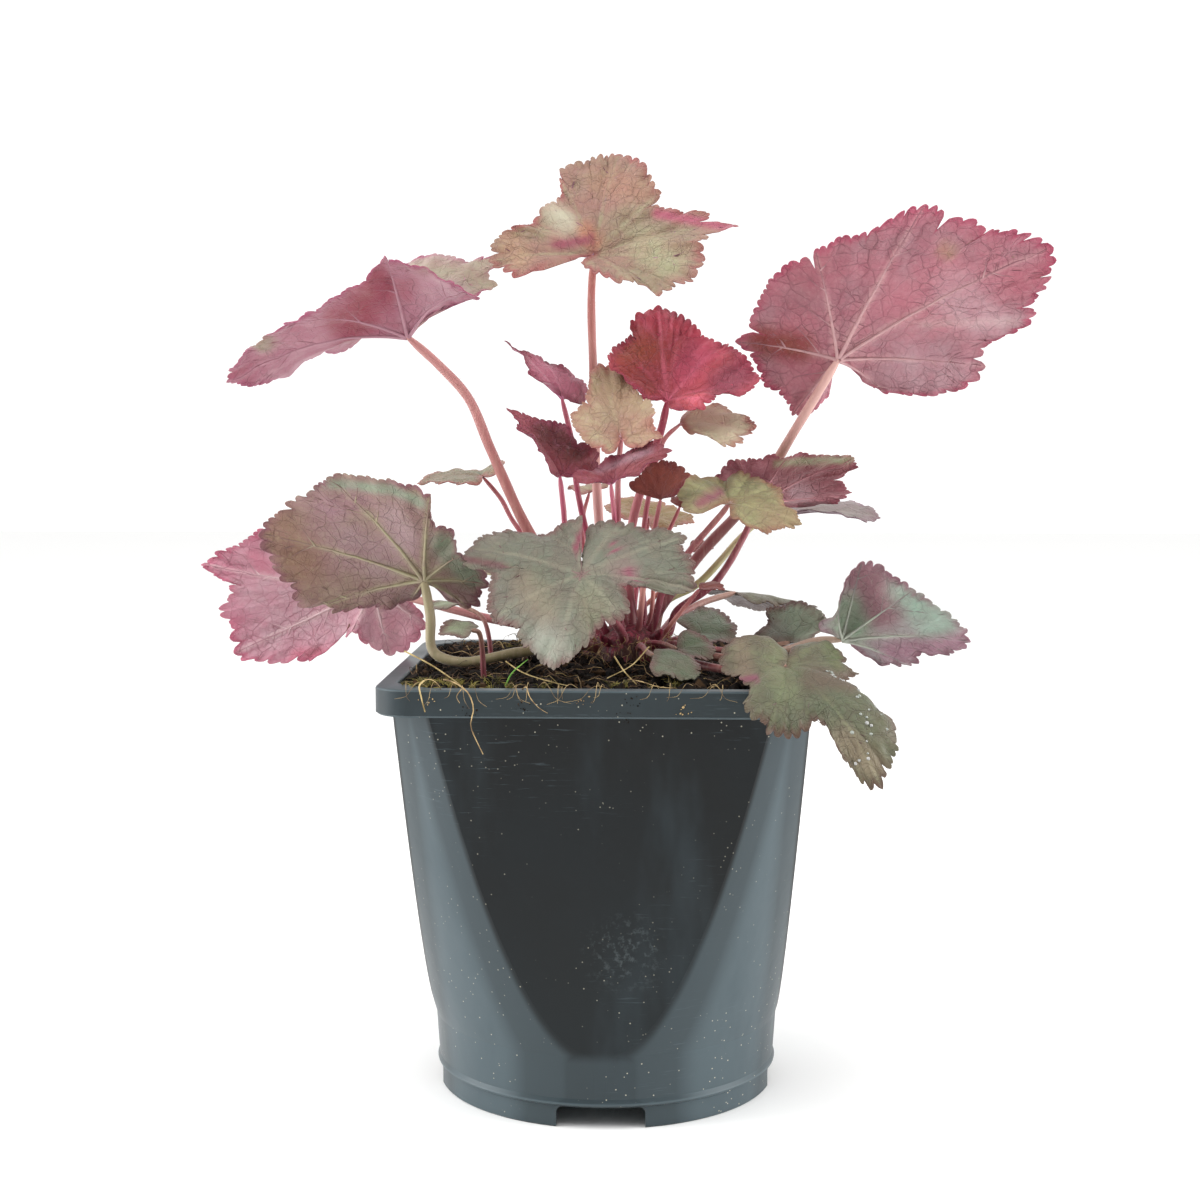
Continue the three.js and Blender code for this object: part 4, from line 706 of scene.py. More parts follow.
# Rows of points from the stalk out to the edge, as shares of the reach.
ROWS = {
    True: [0.05, 0.11, 0.18, 0.26, 0.34, 0.42, 0.5, 0.57, 0.64, 0.71, 0.77, 0.83, 0.88, 0.925, 0.965, 1],
    False: [0.12, 0.27, 0.42, 0.56, 0.69, 0.8, 0.89, 0.95, 1],
}

# `foot` is where a stalk leaves the crown, its bearing and its reach, and `hole` where it leaves the
# soil. `thick` is the stalk's radius at its foot and top, `stem` its way, and `joint` its top. The wash
# lists strokes of colour, mostly the leaf's own tints and a few of painted shade: share, radius and
# a line as seen from the front. `tips` go round the edge, each with the depth of the cut after it as
# a share of the reach, SLIGHT_CUT where none is given.
LEAVES = {}
LEAVES["right_large"] = dict(
    tint="rose", foot=(35, 0.55), thick=(1.9, 1.4), joint=(72, 2, 227), lap=0.1,
    stem=[(29, 10, 165), (47, 10, 185), (59, 6, 205)],
    wash=[
        ("#7c3526", 0.9, 5, (48, 233), (60, 231)),
        ("#c0506e", 0.4, 4.5, (85, 268), (97, 271), (115, 266), (132, 261)),
        ("#a98a68", 0.6, 2.4, (101, 259), (103, 258)), ("#d3b6b2", 0.45, 1.5, (94, 238), (125, 238)),
        ("#8f4f58", 0.35, 7, (59, 246), (64, 254)), ("#c8a8ae", 0.55, 7, (106, 246), (120, 236)),
        ("#c4a3aa", 0.5, 8, (96, 225), (108, 223)), ("#b05a6a", 0.5, 5, (123, 248), (132, 254)),
    ],
    tips=[
        (70, 15, 215, 0.03), (64.5, 14, 210, 0.03), (58.5, 12, 209, 0.03), (56, 11, 215, 0.05),
        (49.5, 10, 218.5, 0.03), (46, 7, 226.5, 0.08), (40, 4, 232.5, 0.16), (44.5, -2, 239.5, 0.03),
        (47.5, -6, 246), (49.5, -9, 251), (56, -13, 255.5), (60, -16, 257, 0.13), (63, -18, 258.5),
        (69.5, -21, 262), (77, -24, 263, 0.04), (80, -25, 264), (83.5, -27, 267), (88, -29, 269, 0.05),
        (90.5, -30, 270), (94, -31, 271), (97.5, -31, 270.5), (99, -31, 268.5, 0.1), (104, -30, 267),
        (109, -29, 266.5), (112, -28, 264, 0.09), (114.5, -27, 263), (120.5, -27, 264),
        (125.5, -27, 263, 0.05), (128.5, -26, 261.5), (132.5, -25, 259), (134, -22, 255.5),
        (133, -19, 252, 0.05), (133.5, -18, 250.5), (132.5, -15, 246.5), (130.5, -13, 244.5, 0.06),
        (131, -9, 240), (130, -5, 236.5), (125.5, -2, 234.5, 0.1), (118, 2, 232), (117, 3, 228, 0.05),
        (118, 5, 225), (116.5, 7, 220.5), (112.5, 9, 218), (103.5, 10, 215.5, 0.04), (92.5, 11, 215.5),
        (87, 11.5, 216.5), (83.5, 12, 218.5, 0.1),
    ],
)
LEAVES["left_large"] = dict(
    tint="rose_fold", foot=(180, 0.62), thick=(1.9, 1.4), joint=(-62, 0, 234),
    lap=0.08, arch=0.1,
    stem=[(-10, -2, 152), (-24, -2, 173), (-36, -2, 199), (-43, -1, 215), (-52, 0, 225)],
    wash=[
        # The first stroke is painted shade: the dark crimson of the hollow in the blade's middle.
        ("#8c3140", 0.95, 5.5, (-68, 249), (-76, 241), (-82, 236)),
        ("#b98f97", 0.6, 3, (-73, 257), (-77, 254)), ("#c797a4", 0.6, 7, (-106, 223), (-91, 231)),
        ("#c3a0aa", 0.55, 5, (-54, 245), (-48, 249)), ("#8d8a6a", 0.8, 2.2, (-107, 231), (-104, 233)),
        ("#9c927a", 0.75, 3.5, (-55, 256), (-46, 254), (-36, 250)),
    ],
    tips=[
        (-40, 9, 246, 0.03), (-35, 15, 250.5, 0.03), (-38.5, 18, 254, 0.06), (-30, 26, 263.5, 0.09),
        (-44.5, 21, 258.5, 0.04), (-51.5, 24, 261, 0.03), (-58, 26, 261, 0.03), (-66, 30, 259.5, 0.08),
        (-76, 36, 244, 0.1), (-81.5, 33, 231.5, 0.03), (-89.5, 29, 229, 0.03), (-96, 23, 228, 0.12),
        (-104, 15, 219.5, 0.03), (-110, 10, 217), (-115.5, 6, 218), (-119.5, 2, 220.5, 0.03),
        (-117, -4, 223, 0.03), (-109, -10, 229.5, 0.03), (-103, -14, 234.5, 0.05), (-95, -19, 236, 0.03),
        (-92, -21, 238, 0.04), (-83.5, -26, 242, 0.03), (-73, -31, 246.5), (-67, -35, 252, 0.06),
        (-63, -42, 256.5, 0.05), (-62, -38, 255), (-55, -36, 252.5), (-47.5, -32, 249), (-40, -26, 246),
        (-37.5, -20, 245, 0.05),
    ],
)
LEAVES["top"] = dict(
    tint="amber", foot=(140, 0.3), thick=(1.6, 1.2), joint=(-4, 2, 259), lap=0.08,
    stem=[(0, 4, 155), (-3, 6, 183), (-4, 8, 214), (-5, 8, 246)],
    wash=[
        ("#c47a5c", 0.6, 3, (-7, 267), (-4, 263)), ("#a2a07c", 0.75, 5.5, (12, 262), (19, 256)),
        ("#bdb8a0", 0.85, 4, (-18, 274), (-13, 269)), ("#b98f72", 0.5, 4, (-29, 262), (-26, 257)),
        ("#8c3a52", 0.9, 1.7, (-15, 262), (-5, 264)),
        ("#a84a66", 0.9, 2, (16, 272), (26, 270), (39, 267)), ("#a67c62", 0.55, 5, (-2, 283), (9, 280)),
    ],
    tips=[
        (-7.5, -9, 255.5), (-6, -11, 254), (-3, -13, 252.5), (-0.5, -14, 251), (4, -16, 249.5),
        (8, -17, 249.5, 0.12), (12.5, -18, 247.5), (16.5, -20, 244.5), (20.5, -19, 246.5),
        (21, -19, 248.5, 0.04), (24, -18, 248), (26.5, -17, 249.5), (28, -16, 252, 0.03), (30, -14, 254),
        (30.5, -12, 257, 0.03), (30, -10, 260.5), (28.5, -9, 263, 0.12), (41, 2, 267, 0.16),
        (30.5, 5, 272.5, 0.1), (22, 6, 273, 0.03), (16, 6, 275, 0.12), (16.5, 7, 277.5), (17, 8, 279, 0.03),
        (14.5, 10, 282.5, 0.03), (14, 12, 284.5), (12, 15, 288), (9.5, 18, 290.5), (7, 20, 291.5),
        (3.5, 22, 293), (1, 22, 292.5, 0.07), (-0.5, 22, 291.5), (-2.5, 22, 291.5), (-5.5, 21, 291, 0.08),
        (-6.5, 20, 290), (-9.5, 19, 290), (-13, 18, 289), (-15.5, 16, 286.5, 0.05), (-15.5, 14, 283),
        (-14.5, 10, 278.5, 0.05), (-19, 6, 275), (-24, 1, 268), (-26.5, -2, 268.5), (-29, -2, 267.5),
        (-32, -3, 266), (-35.5, -6, 261, 0.06), (-36, -9, 256), (-34.5, -11, 254, 0.04),
        (-30.5, -13, 252.5), (-28, -14, 251.5, 0.1),
    ],
)
LEAVES["crimson_cup"] = dict(
    tint="raspberry", foot=(0, 0.05), thick=(1.7, 1.2), joint=(19, -2, 214),
    crumple=1.8,
    stem=[(7, 0, 158), (8, 0, 175), (11, 0, 187), (17, 0, 205)],
    wash=[
        # The first stroke and the last, dark orange-brown at the left, are the leaf's own orange tint
        # darkened with painted shade.
        ("#9c4a34", 0.9, 5, (7, 229), (13, 230)), ("#bc4c6a", 0.6, 5, (24, 222), (29, 230)),
        ("#c4485c", 0.5, 3.4, (14, 240), (25, 237), (35, 230)),
        ("#82384a", 0.87, 6, (36, 219), (42, 223)), ("#8a2f26", 0.85, 4, (7, 224), (12, 219)),
    ],
    tips=[
        (23.5, -14, 211), (27, -16, 211), (30, -17, 212, 0.03), (32, -17, 214, 0.12), (39.5, -15, 216.5),
        (44.5, -13.5, 216), (48.5, -11, 219.5), (47, -8, 222), (45, -5, 225), (40.5, -1, 230, 0.03),
        (37, 2, 232.5), (31.5, 5, 233.5, 0.03), (28, 8, 237), (26, 10, 239.5), (23.5, 11, 241, 0.05),
        (21.5, 12, 242.5), (18.5, 13, 244), (16, 14, 244), (12.5, 14, 243), (9.5, 13, 241.5),
        (7, 12, 239.5, 0.14), (6.5, 9, 233.5, 0.03), (3.5, 6, 232.5), (1.5, 4, 230.5, 0.04), (0, 1, 227.5),
        (0.5, -1, 225.5, 0.03), (4, -4, 222, 0.03), (11.5, -8, 215.5, 0.1),
    ],
)
LEAVES["small_crimson_a"] = dict(
    tint="crimson", foot=(195, 0.35), thick=(1.1, 0.8), joint=(-14, 2, 215),
    crumple=1.4,
    stem=[(-4, -2, 165), (-9, 0, 186), (-11, 2, 202)],
    wash=[("#bd7288", 0.7, 6, (-20, 225), (-11, 219))],
    tips=[
        (-6.5, 11, 215, 0.05), (-7, 12, 218, 0.04), (-9, 12, 221.5, 0.03), (-10, 12, 223, 0.03),
        (-13, 11, 224.5, 0.03), (-19, 9, 227), (-21, 7, 228, 0.03), (-25, 4, 229, 0.06),
        (-32, 0, 232.5, 0.1), (-24.5, -5, 226, 0.03), (-23.5, -6, 223, 0.03), (-21.5, -7, 219.5),
        (-18, -8, 219.5, 0.1),
    ],
)
LEAVES["small_crimson_b"] = dict(
    tint="crimson", foot=(215, 0.6), thick=(1.1, 0.8), joint=(-14, -10, 191),
    crumple=1.6,
    stem=[(-11, -9, 165), (-13, -10, 182)],
    wash=[("#582624", 0.95, 5, (-18, 205), (-10, 199)), ("#b0566a", 0.6, 1.5, (-13, 207), (-6, 202))],
    tips=[
        (-2, -6, 194.5, 0.03), (-2, -5, 198, 0.03), (-6.5, -5, 201, 0.04), (-10, -5, 202.5, 0.05),
        (-12.5, -5, 207.5), (-17.5, -5, 208), (-24.5, -6, 209, 0.05), (-31, -9, 211.5, 0.1),
        (-25.5, -14, 205.5, 0.03), (-22.5, -17, 202, 0.03), (-17, -20, 194.5, 0.1),
    ],
)
LEAVES["olive_mid"] = dict(
    tint="olive", foot=(250, 0.25), thick=(1.1, 0.8), joint=(5, -12, 203),
    stem=[(4, -6, 171), (4, -9, 193)],
    wash=[
        ("#a8706c", 0.5, 3, (2, 205), (5, 207)), ("#9a8a62", 0.4, 4, (-1, 219), (5, 216)),
        ("#86684c", 0.6, 4, (0, 221), (5, 218)), ("#a87a68", 0.6, 5, (8, 208), (12, 206)),
    ],
    tips=[
        (9, -20, 200), (13, -20, 200.5), (18, -19, 203, 0.06), (14.5, -17, 207, 0.03),
        (15.5, -13, 210.5, 0.04), (14, -9, 214, 0.06), (10, -6, 216.5, 0.03), (8.5, -2, 220.5, 0.03),
        (5, 1, 223.5), (4, 3, 225), (1, 4, 225.5), (-2.5, 4, 225.5), (-5.5, 3, 223, 0.03),
        (-5.5, 0, 219.5, 0.03), (-6, -3, 216.5, 0.1), (-8, -6, 212), (-11, -8, 210.5, 0.03),
        (-10, -11, 206, 0.08), (-7, -15, 202.5, 0.03), (-3, -18, 200, 0.05), (0.5, -21, 198, 0.1),
    ],
)
LEAVES["olive_small_right"] = dict(
    tint="olive", foot=(0, 0.3), thick=(1, 0.7), joint=(23, -4, 207),
    stem=[(11, -2, 162), (13, -2, 183), (18, -3, 202)],
    wash=[("#d0c6a8", 0.88, 9, (34, 208), (41, 206))],
    tips=[
        (27.5, -8, 204, 0.03), (31.5, -10, 203, 0.05), (36.5, -13, 200.5, 0.04), (39.5, -13, 200.5),
        (42, -12, 200.5, 0.12), (45, -9, 204), (46.5, -6, 206, 0.03), (44.5, -2, 208.5), (40.5, 1, 210.5),
        (36, 4, 213), (32.5, 5, 213.5, 0.03), (26.5, 5, 211.5, 0.1),
    ],
)
LEAVES["crimson_fold"] = dict(
    tint="crimson", foot=(255, 0.5), thick=(1, 0.7), joint=(2, -20, 189),
    crumple=1.4,
    stem=[(3, -13, 159), (3, -18, 178)],
    wash=[("#b0909a", 0.6, 1.2, (-2, 193), (14, 199))],
    tips=[
        (7, -24, 191, 0.03), (11.5, -25, 193.5, 0.03), (19, -23, 197.5), (20.5, -22, 199.5),
        (17.5, -20, 201), (14, -18, 201.5), (8.5, -17, 199.5), (4, -16, 197.5, 0.03),
        (-0.5, -16, 195, 0.04), (-4, -17, 193.5, 0.03), (-9.5, -22, 191, 0.1),
    ],
)
LEAVES["brown_crimson"] = dict(
    tint="dark_crimson", foot=(300, 0.45), thick=(1, 0.7), joint=(17, -14, 184),
    stem=[(12, -8, 159), (15, -11, 174)],
    tips=[
        (22, -20, 186.5, 0.03), (24.5, -19, 189, 0.03), (26, -18, 192, 0.04), (24, -16, 194, 0.03),
        (21.5, -14, 195.5, 0.03), (18, -12, 196, 0.03), (14.5, -11, 195.5, 0.03), (12.5, -10, 193.5, 0.04),
        (9.5, -11, 190.5, 0.03), (7.5, -12, 189, 0.1),
    ],
)
LEAVES["edge_on_olive"] = dict(
    tint="olive", foot=(135, 0.7), thick=(0.9, 0.6), joint=(-6, 16, 185),
    stem=[(-6, 10, 157), (-8, 14, 176)],
    tips=[
        (0, 13, 187, 0.05), (-3, 24, 187, 0.05), (-9, 25, 187, 0.05), (-13, 16, 186, 0.05),
        (-9, 8, 185, 0.1),
    ],
)
LEAVES["olive_behind"] = dict(
    tint="olive", foot=(85, 0.7), thick=(1.1, 0.8), joint=(13, 32, 176),
    stem=[(9, 16, 154), (11, 27, 167)],
    wash=[("#85723e", 0.9, 20, (2, 180), (22, 177))],
    tips=[
        (17, 20, 172, 0.05), (28, 28, 175, 0.05), (23, 40, 178, 0.05), (13, 47, 181, 0.05),
        (2, 46, 182, 0.05), (-2, 36, 179, 0.05), (5, 24, 176, 0.1),
    ],
)
LEAVES["light_olive"] = dict(
    tint="light_olive", foot=(335, 0.55), thick=(1.2, 0.9), joint=(38, -14, 183),
    stem=[(18, -6, 156), (26, -9, 168), (36, -12, 180)],
    wash=[("#8f4560", 0.85, 1.7, (29, 183), (35, 186)), ("#9a7a62", 0.4, 4, (50, 178), (57, 177))],
    tips=[
        (40.5, -22, 178), (44.5, -26, 175.5), (49, -28, 174.5), (53, -28, 175.5, 0.03), (57, -26, 176),
        (59.5, -25, 177), (58, -22, 180, 0.04), (55, -16, 183, 0.05), (54.5, -12, 185, 0.03),
        (53.5, -9, 187.5, 0.03), (50.5, -6, 189.5, 0.05), (46, -4, 190.5, 0.04), (44.5, -3, 192),
        (42, -3, 192.5), (39, -3, 192, 0.3), (36.5, -3, 189, 0.03), (33.5, -3, 190, 0.04),
        (30, -4, 190, 0.03), (27.5, -5, 191.5), (23, -8, 189.5, 0.03), (21.5, -11, 187.5, 0.03),
        (22, -14, 185, 0.04), (24, -19, 181, 0.1),
    ],
)
LEAVES["crimson_right"] = dict(
    tint="crimson_green", foot=(12, 0.8), thick=(1.3, 1), joint=(47, 8, 181),
    stem=[(22, 2, 148), (34, 4, 157), (44, 8, 173)],
    wash=[
        ("#74363a", 0.8, 6, (57, 191), (74, 193)),
        ("#8e9470", 0.9, 1.4, (53, 195), (65, 196), (76, 196)),
        ("#b49298", 0.8, 3, (59, 186), (63, 185)),
    ],
    tips=[
        (34, 1, 190.5), (36, 0, 193.5, 0.03), (38, -2, 195.5), (41, -3, 197, 0.05), (45.5, -5, 196, 0.04),
        (52, -7, 197, 0.03), (56, -8, 196.5, 0.03), (60, -8, 197.5), (66.5, -7, 197.5), (74, -5, 197.5),
        (77, -2, 196), (78.5, 1, 193.5, 0.03), (75.5, 3, 192, 0.14), (75, 7, 187.5), (77.5, 10, 185, 0.03),
        (76, 12, 182.5, 0.03), (73.5, 15, 181.5, 0.03), (66.5, 20, 180.5, 0.1),
    ],
)
LEAVES["pale_right"] = dict(
    tint="pale", foot=(50, 0.8), thick=(1.4, 0.9), joint=(59, 24, 178),
    stem=[(18, 9, 150), (29, 14, 156), (48, 20, 175)],
    tips=[
        (71, 14, 178, 0.04), (83, 16, 176, 0.04), (88, 24, 176, 0.05), (80, 38, 182, 0.05),
        (68, 42, 180, 0.05), (55, 34, 179, 0.1),
    ],
)
LEAVES["front_big"] = dict(
    tint="grey_green", foot=(262, 0.75), thick=(1.5, 1.1), joint=(-6, -40, 163),
    lap=0.05,
    stem=[(-3, -32, 157)],
    wash=[
        ("#8f8068", 0.5, 4.5, (-22, 160), (-16, 153)), ("#96807a", 0.6, 3.2, (5, 165), (8, 162)),
        ("#a2a698", 0.6, 6, (-15, 145), (-12, 140)),
        ("#87304c", 0.95, 0.9, (-4.5, 178), (-7, 174), (-8.3, 168.5)),
        ("#8e3c58", 0.9, 1, (3, 171), (5, 167), (10, 162)),
        ("#6e3a44", 0.75, 1.1, (-42, 167), (-29, 165)), ("#8c8a6a", 0.4, 5, (-3, 156), (0, 149)),
    ],
    tips=[
        (-7, -20, 179.5), (-10.5, -20, 178), (-12.5, -21, 177), (-14, -22, 175, 0.03), (-17, -23, 174, 0.1),
        (-26.5, -23, 174.5), (-29.5, -22, 175), (-33.5, -22, 174.5, 0.03), (-35.5, -23, 173),
        (-39, -25, 172), (-41, -27, 170), (-41.5, -30, 167, 0.03), (-42, -32, 165.5, 0.1),
        (-33, -36, 162.5), (-33.5, -38, 159), (-34, -41, 155.5), (-33.5, -44, 152.5), (-32, -47, 150),
        (-29, -49, 148.5), (-25, -51, 148.5, 0.05), (-24, -53, 145.5), (-22, -56, 143), (-19, -58, 141.5),
        (-17, -61, 139.5), (-13, -64, 138), (-9, -62, 139.5), (-6.5, -60, 142, 0.03),
        (-3.5, -58, 143.5, 0.03), (-2, -56, 146, 0.03), (0, -54, 148.5, 0.05), (3.5, -53, 149.5),
        (6.5, -52, 151), (8.5, -50, 152.5), (8.5, -48, 155, 0.03), (7.5, -46, 157.5, 0.04),
        (7.5, -45, 160.5, 0.22), (21, -46, 157.5), (24, -45, 157), (27, -44, 158.5), (28, -43, 160),
        (27, -41, 161.5, 0.05), (27.5, -39, 163.5), (27.5, -37, 166), (26, -35, 168), (24, -32, 170, 0.06),
        (25, -29, 173), (23, -27, 175), (20.5, -26, 175.5, 0.03), (15, -24, 174.5), (11, -23, 176),
        (8.5, -23, 176.5), (5.5, -22, 177.5), (2.5, -21, 178), (-1, -20, 177.5, 0.04), (-4, -20, 177, 0.1),
    ],
)
LEAVES["left_mauve"] = dict(
    tint="mauve_brown", foot=(215, 0.92), thick=(1.7, 1.5), joint=(-56, -12, 159),
    stem=[(-27, -16, 137), (-44, -16, 134), (-53, -14, 137), (-54, -13, 148)],
    wash=[
        ("#8a6650", 0.75, 8, (-100, 178), (-93, 164)), ("#a3858a", 0.6, 6, (-76, 172), (-68, 164)),
        ("#b99ca0", 0.6, 4.5, (-64, 179), (-61, 172)),
        ("#8fa088", 0.95, 1.7, (-100, 185), (-85, 190), (-62, 188), (-54, 184)),
        ("#7e8c74", 0.95, 4.5, (-49, 170), (-41, 160)), ("#a4708a", 0.4, 4, (-82, 182), (-74, 184)),
    ],
    tips=[
        (-61, -3, 151, 0.05), (-70, -7, 149, 0.05), (-76, -9, 150, 0.03), (-80.5, -10, 148),
        (-84.5, -11, 148, 0.03), (-86.5, -12, 151, 0.05), (-91.5, -13, 150), (-95, -14, 150.5),
        (-96.5, -15, 153.5, 0.03), (-96.5, -16, 157, 0.06), (-99.5, -18, 159), (-101.5, -20, 162.5),
        (-102, -21, 165.5, 0.04), (-104.5, -23, 170), (-104.5, -25, 174), (-102.5, -27, 177.5),
        (-97.5, -30, 180.5, 0.05), (-95, -31, 183.5), (-91, -33, 185.5), (-87.5, -34, 186.5),
        (-85.5, -36, 188.5), (-81, -39, 191.5), (-73.5, -42, 192), (-66.5, -43, 191.5), (-61, -43, 189.5),
        (-54.5, -41, 189, 0.03), (-50.5, -38, 187, 0.1), (-51.5, -28, 177.5, 0.05),
        (-48.5, -26, 176.5, 0.03), (-45.5, -24, 175, 0.05), (-45, -22, 170.5, 0.03),
        (-43, -20, 167.5, 0.06), (-36.5, -14, 161, 0.03), (-35.5, -10, 157.5, 0.04), (-39, -8, 153.5),
        (-39, -6, 150.5, 0.03), (-43, -5, 149.5, 0.03), (-46.5, -4, 150.5, 0.1),
    ],
)
LEAVES["left_pink"] = dict(
    tint="pink", foot=(165, 0.85), thick=(1.5, 1.2), joint=(-77, 22, 154),
    stem=[(-35, 12, 144), (-58, 18, 149)],
    wash=[
        ("#b8566a", 0.6, 2.8, (-128, 148), (-124, 137)), ("#c0607a", 0.5, 3, (-116, 164), (-112, 160)),
        ("#b04e60", 0.55, 2.6, (-100, 132), (-93, 133)), ("#c79aa2", 0.5, 5, (-72, 137), (-66, 142)),
    ],
    tips=[
        (-64, 24, 148.5), (-60.5, 22, 145), (-59, 20, 141.5, 0.03), (-61.5, 18, 137, 0.03),
        (-65.5, 16, 133.5), (-70.5, 14, 132), (-75, 13, 134, 0.03), (-78.5, 12, 137, 0.03),
        (-82.5, 12, 140.5, 0.37), (-95.5, 9, 131), (-98.5, 8, 131, 0.05), (-104, 8, 131),
        (-108.5, 8, 130.5), (-112, 8, 131), (-117.5, 8, 131), (-120, 8, 133.5, 0.04), (-121.5, 8.5, 138.5),
        (-121, 9, 143), (-124.5, 9.5, 145.5), (-125, 10, 148), (-122, 11, 152), (-122, 12, 154.5, 0.09),
        (-126.5, 14, 158.5), (-131.5, 16, 159.5), (-132, 16, 161), (-130, 18, 163, 0.03), (-128, 19, 165.5),
        (-124, 20, 167), (-119.5, 23, 169.5), (-115.5, 26, 172.5, 0.03), (-105, 29, 172.5, 0.03),
        (-94, 30, 171.5, 0.1),
    ],
)
LEAVES["thin_left"] = dict(
    tint="olive", foot=(160, 0.6), thick=(1, 0.7), joint=(-40, 14, 190),
    stem=[(-15, 6, 158), (-30, 10, 176), (-34, 12, 183)],
    wash=[("#868a6e", 0.85, 9, (-60, 189), (-44, 191))],
    tips=[
        (-36, 7, 191, 0.05), (-42, 24, 191, 0.05), (-53, 29, 192, 0.05), (-62, 18, 188, 0.05),
        (-53, 3, 188, 0.05), (-43, -1, 188, 0.1),
    ],
)
LEAVES["small_green_left"] = dict(
    tint="grey_green", hole=(-36, -30), thick=(0.9, 0.7), joint=(-39, -36, 146),
    stem=[(-37, -33, 145)],
    wash=[("#8a9476", 0.85, 14, (-44, 147), (-41, 146))],
    tips=[(-38, -30, 147, 0.05), (-46, -28, 148, 0.05), (-49, -36, 145, 0.05), (-41, -45, 145, 0.1)],
)
LEAVES["thin_green_left"] = dict(
    tint="grey_green", hole=(-36, -3), thick=(0.9, 0.6), joint=(-47, 4, 150),
    stem=[(-39, 0, 146)],
    wash=[("#84906e", 0.8, 14, (-54, 149), (-48, 150))],
    tips=[(-46, 10, 150, 0.05), (-54, 14, 150, 0.05), (-58, 8, 148, 0.05), (-51, -1, 149, 0.1)],
)
LEAVES["folded_right"] = dict(
    tint="mauve_green", foot=(335, 0.92), thick=(1.4, 1.1), joint=(72, -22, 142),
    stem=[(26, -12, 137), (41, -20, 136), (54, -25, 139), (65, -23, 142)],
    wash=[
        ("#92656e", 0.9, 6.5, (76.7, 163.5), (80.9, 157.6), (82.8, 151.6)),
        ("#94ae9c", 0.95, 5.6, (90.0, 158.4), (95.9, 152.0), (99.5, 147.2)),
        ("#a87c8c", 0.9, 4.2, (87.6, 138.2), (96.3, 139.2), (107.2, 142.8)),
        ("#869880", 0.95, 3.8, (70.7, 147.1), (73.6, 153.1), (76.6, 144.7)),
    ],
    tips=[
        (65.5, -34, 149, 0.03), (70, -34, 152.5, 0.04), (72, -31, 159.5), (72.5, -30, 162.5),
        (74, -30, 164.5), (77, -31, 166.5), (79.5, -32, 167), (82, -33, 166), (84.5, -36, 163.5),
        (91, -41, 159), (97.5, -44, 153.5), (101.5, -44, 152), (103.5, -42, 149.5), (107, -38, 146),
        (109, -34, 143.5), (108, -31, 140.5, 0.03), (103.5, -28, 138), (99.5, -26, 137.5),
        (95.5, -24, 137.5), (95.5, -21, 135), (93, -18, 133), (90, -16, 133, 0.03), (86.5, -14, 133.5, 0.1),
    ],
)
LEAVES["curled_right"] = dict(
    tint="grey_green", foot=(355, 0.9), thick=(1.1, 0.8), joint=(58, 6, 138),
    stem=[(29, 0, 137), (43, 2, 136)],
    wash=[("#9db198", 0.87, 8, (57, 148), (65, 143)), ("#979c92", 0.6, 4, (51, 143), (55, 141))],
    tips=[
        (63.5, -3, 139, 0.03), (68.5, 1, 143, 0.03), (69.5, 3, 145, 0.03), (68, 6, 148, 0.03), (66, 8, 149),
        (62, 11, 151), (59, 13, 150.5, 0.06), (55, 15, 148.5), (51, 16, 148, 0.14), (51.5, 15, 143, 0.03),
        (49.5, 14, 141.5, 0.03), (47, 13, 139, 0.1),
    ],
)
LEAVES["over_rim"] = dict(
    tint="olive_green", foot=(312, 0.92), thick=(1.5, 1.2), joint=(53, -57, 138),
    arch=0.12, drops=(21, 30, 34),
    stem=[(24, -17, 135.2), (34, -28, 133.9), (44, -41, 135), (50, -50, 138.5)],
    wash=[
        ("#7d6c58", 0.6, 3, (40.4, 143.3), (41.3, 137.0)),
        # This dark brown stroke is painted shade where a lobe folds up.
        ("#5b4c3e", 0.8, 2.4, (59.0, 135.8), (67.6, 135.8), (72.0, 134.7)),
        ("#5d6a40", 0.7, 2.6, (66.5, 141.6), (68.9, 139.3)),
        ("#747c58", 0.5, 4, (49.5, 139.8), (52.3, 132.7)),
        ("#94806a", 0.5, 4, (67.7, 121.5), (75.1, 114.7)),
        ("#8c3c60", 0.7, 0.9, (33.4, 133.2), (38.4, 135.0), (44.4, 135.8)),
    ],
    tips=[
        (51.5, -44, 142), (49.5, -44, 144.5), (46, -45, 145), (41.5, -46, 145.5), (38, -47, 145),
        (35, -50, 142), (34, -53, 139), (35, -57, 136, 0.12), (43, -66, 133, 0.03), (41.5, -70, 131.5),
        (40.5, -73, 130), (41, -76, 128), (42.5, -78, 126), (45.5, -78, 124.5, 0.04), (46.5, -80, 122),
        (49.5, -80, 121.5), (52.5, -80, 120.5), (55, -80, 121), (58, -79, 122.5), (60.5, -77, 125, 0.18),
        (67.5, -86, 115, 0.03), (72, -90, 111), (74.5, -91, 110), (77.5, -91, 110), (78.5, -88, 112, 0.04),
        (80, -86.5, 113.5), (82, -83, 118, 0.03), (82.5, -80, 121), (82.5, -76, 124.5, 0.2),
        (70.5, -62, 131.5), (70, -58, 134, 0.05), (74, -50, 134.5), (72.5, -48, 136, 0.2), (70.5, -42, 137),
        (71, -40, 139), (69.5, -36, 142.5), (65.5, -35, 142, 0.1),
    ],
)
LEAVES["small_green_front"] = dict(
    tint="grey_green", foot=(285, 0.9), thick=(0.9, 0.7), joint=(15, -38, 139),
    stem=[(13, -28, 139)],
    wash=[("#66745a", 0.85, 16, (18, 138), (27, 136))],
    tips=[(17, -50, 134, 0.05), (28, -48, 133, 0.05), (29, -38, 136, 0.05), (18, -30, 140, 0.1)],
)
LEAVES["small_green_right"] = dict(
    tint="grey_green", foot=(298, 0.88), thick=(0.9, 0.7),
    joint=(22, -22, 139),
    stem=[(18, -17, 140)],
    wash=[("#58694d", 0.85, 16, (24, 140), (31, 141))],
    tips=[(27, -31, 137, 0.05), (33, -28, 137, 0.05), (33, -18, 140, 0.05), (26, -12, 144, 0.1)],
)
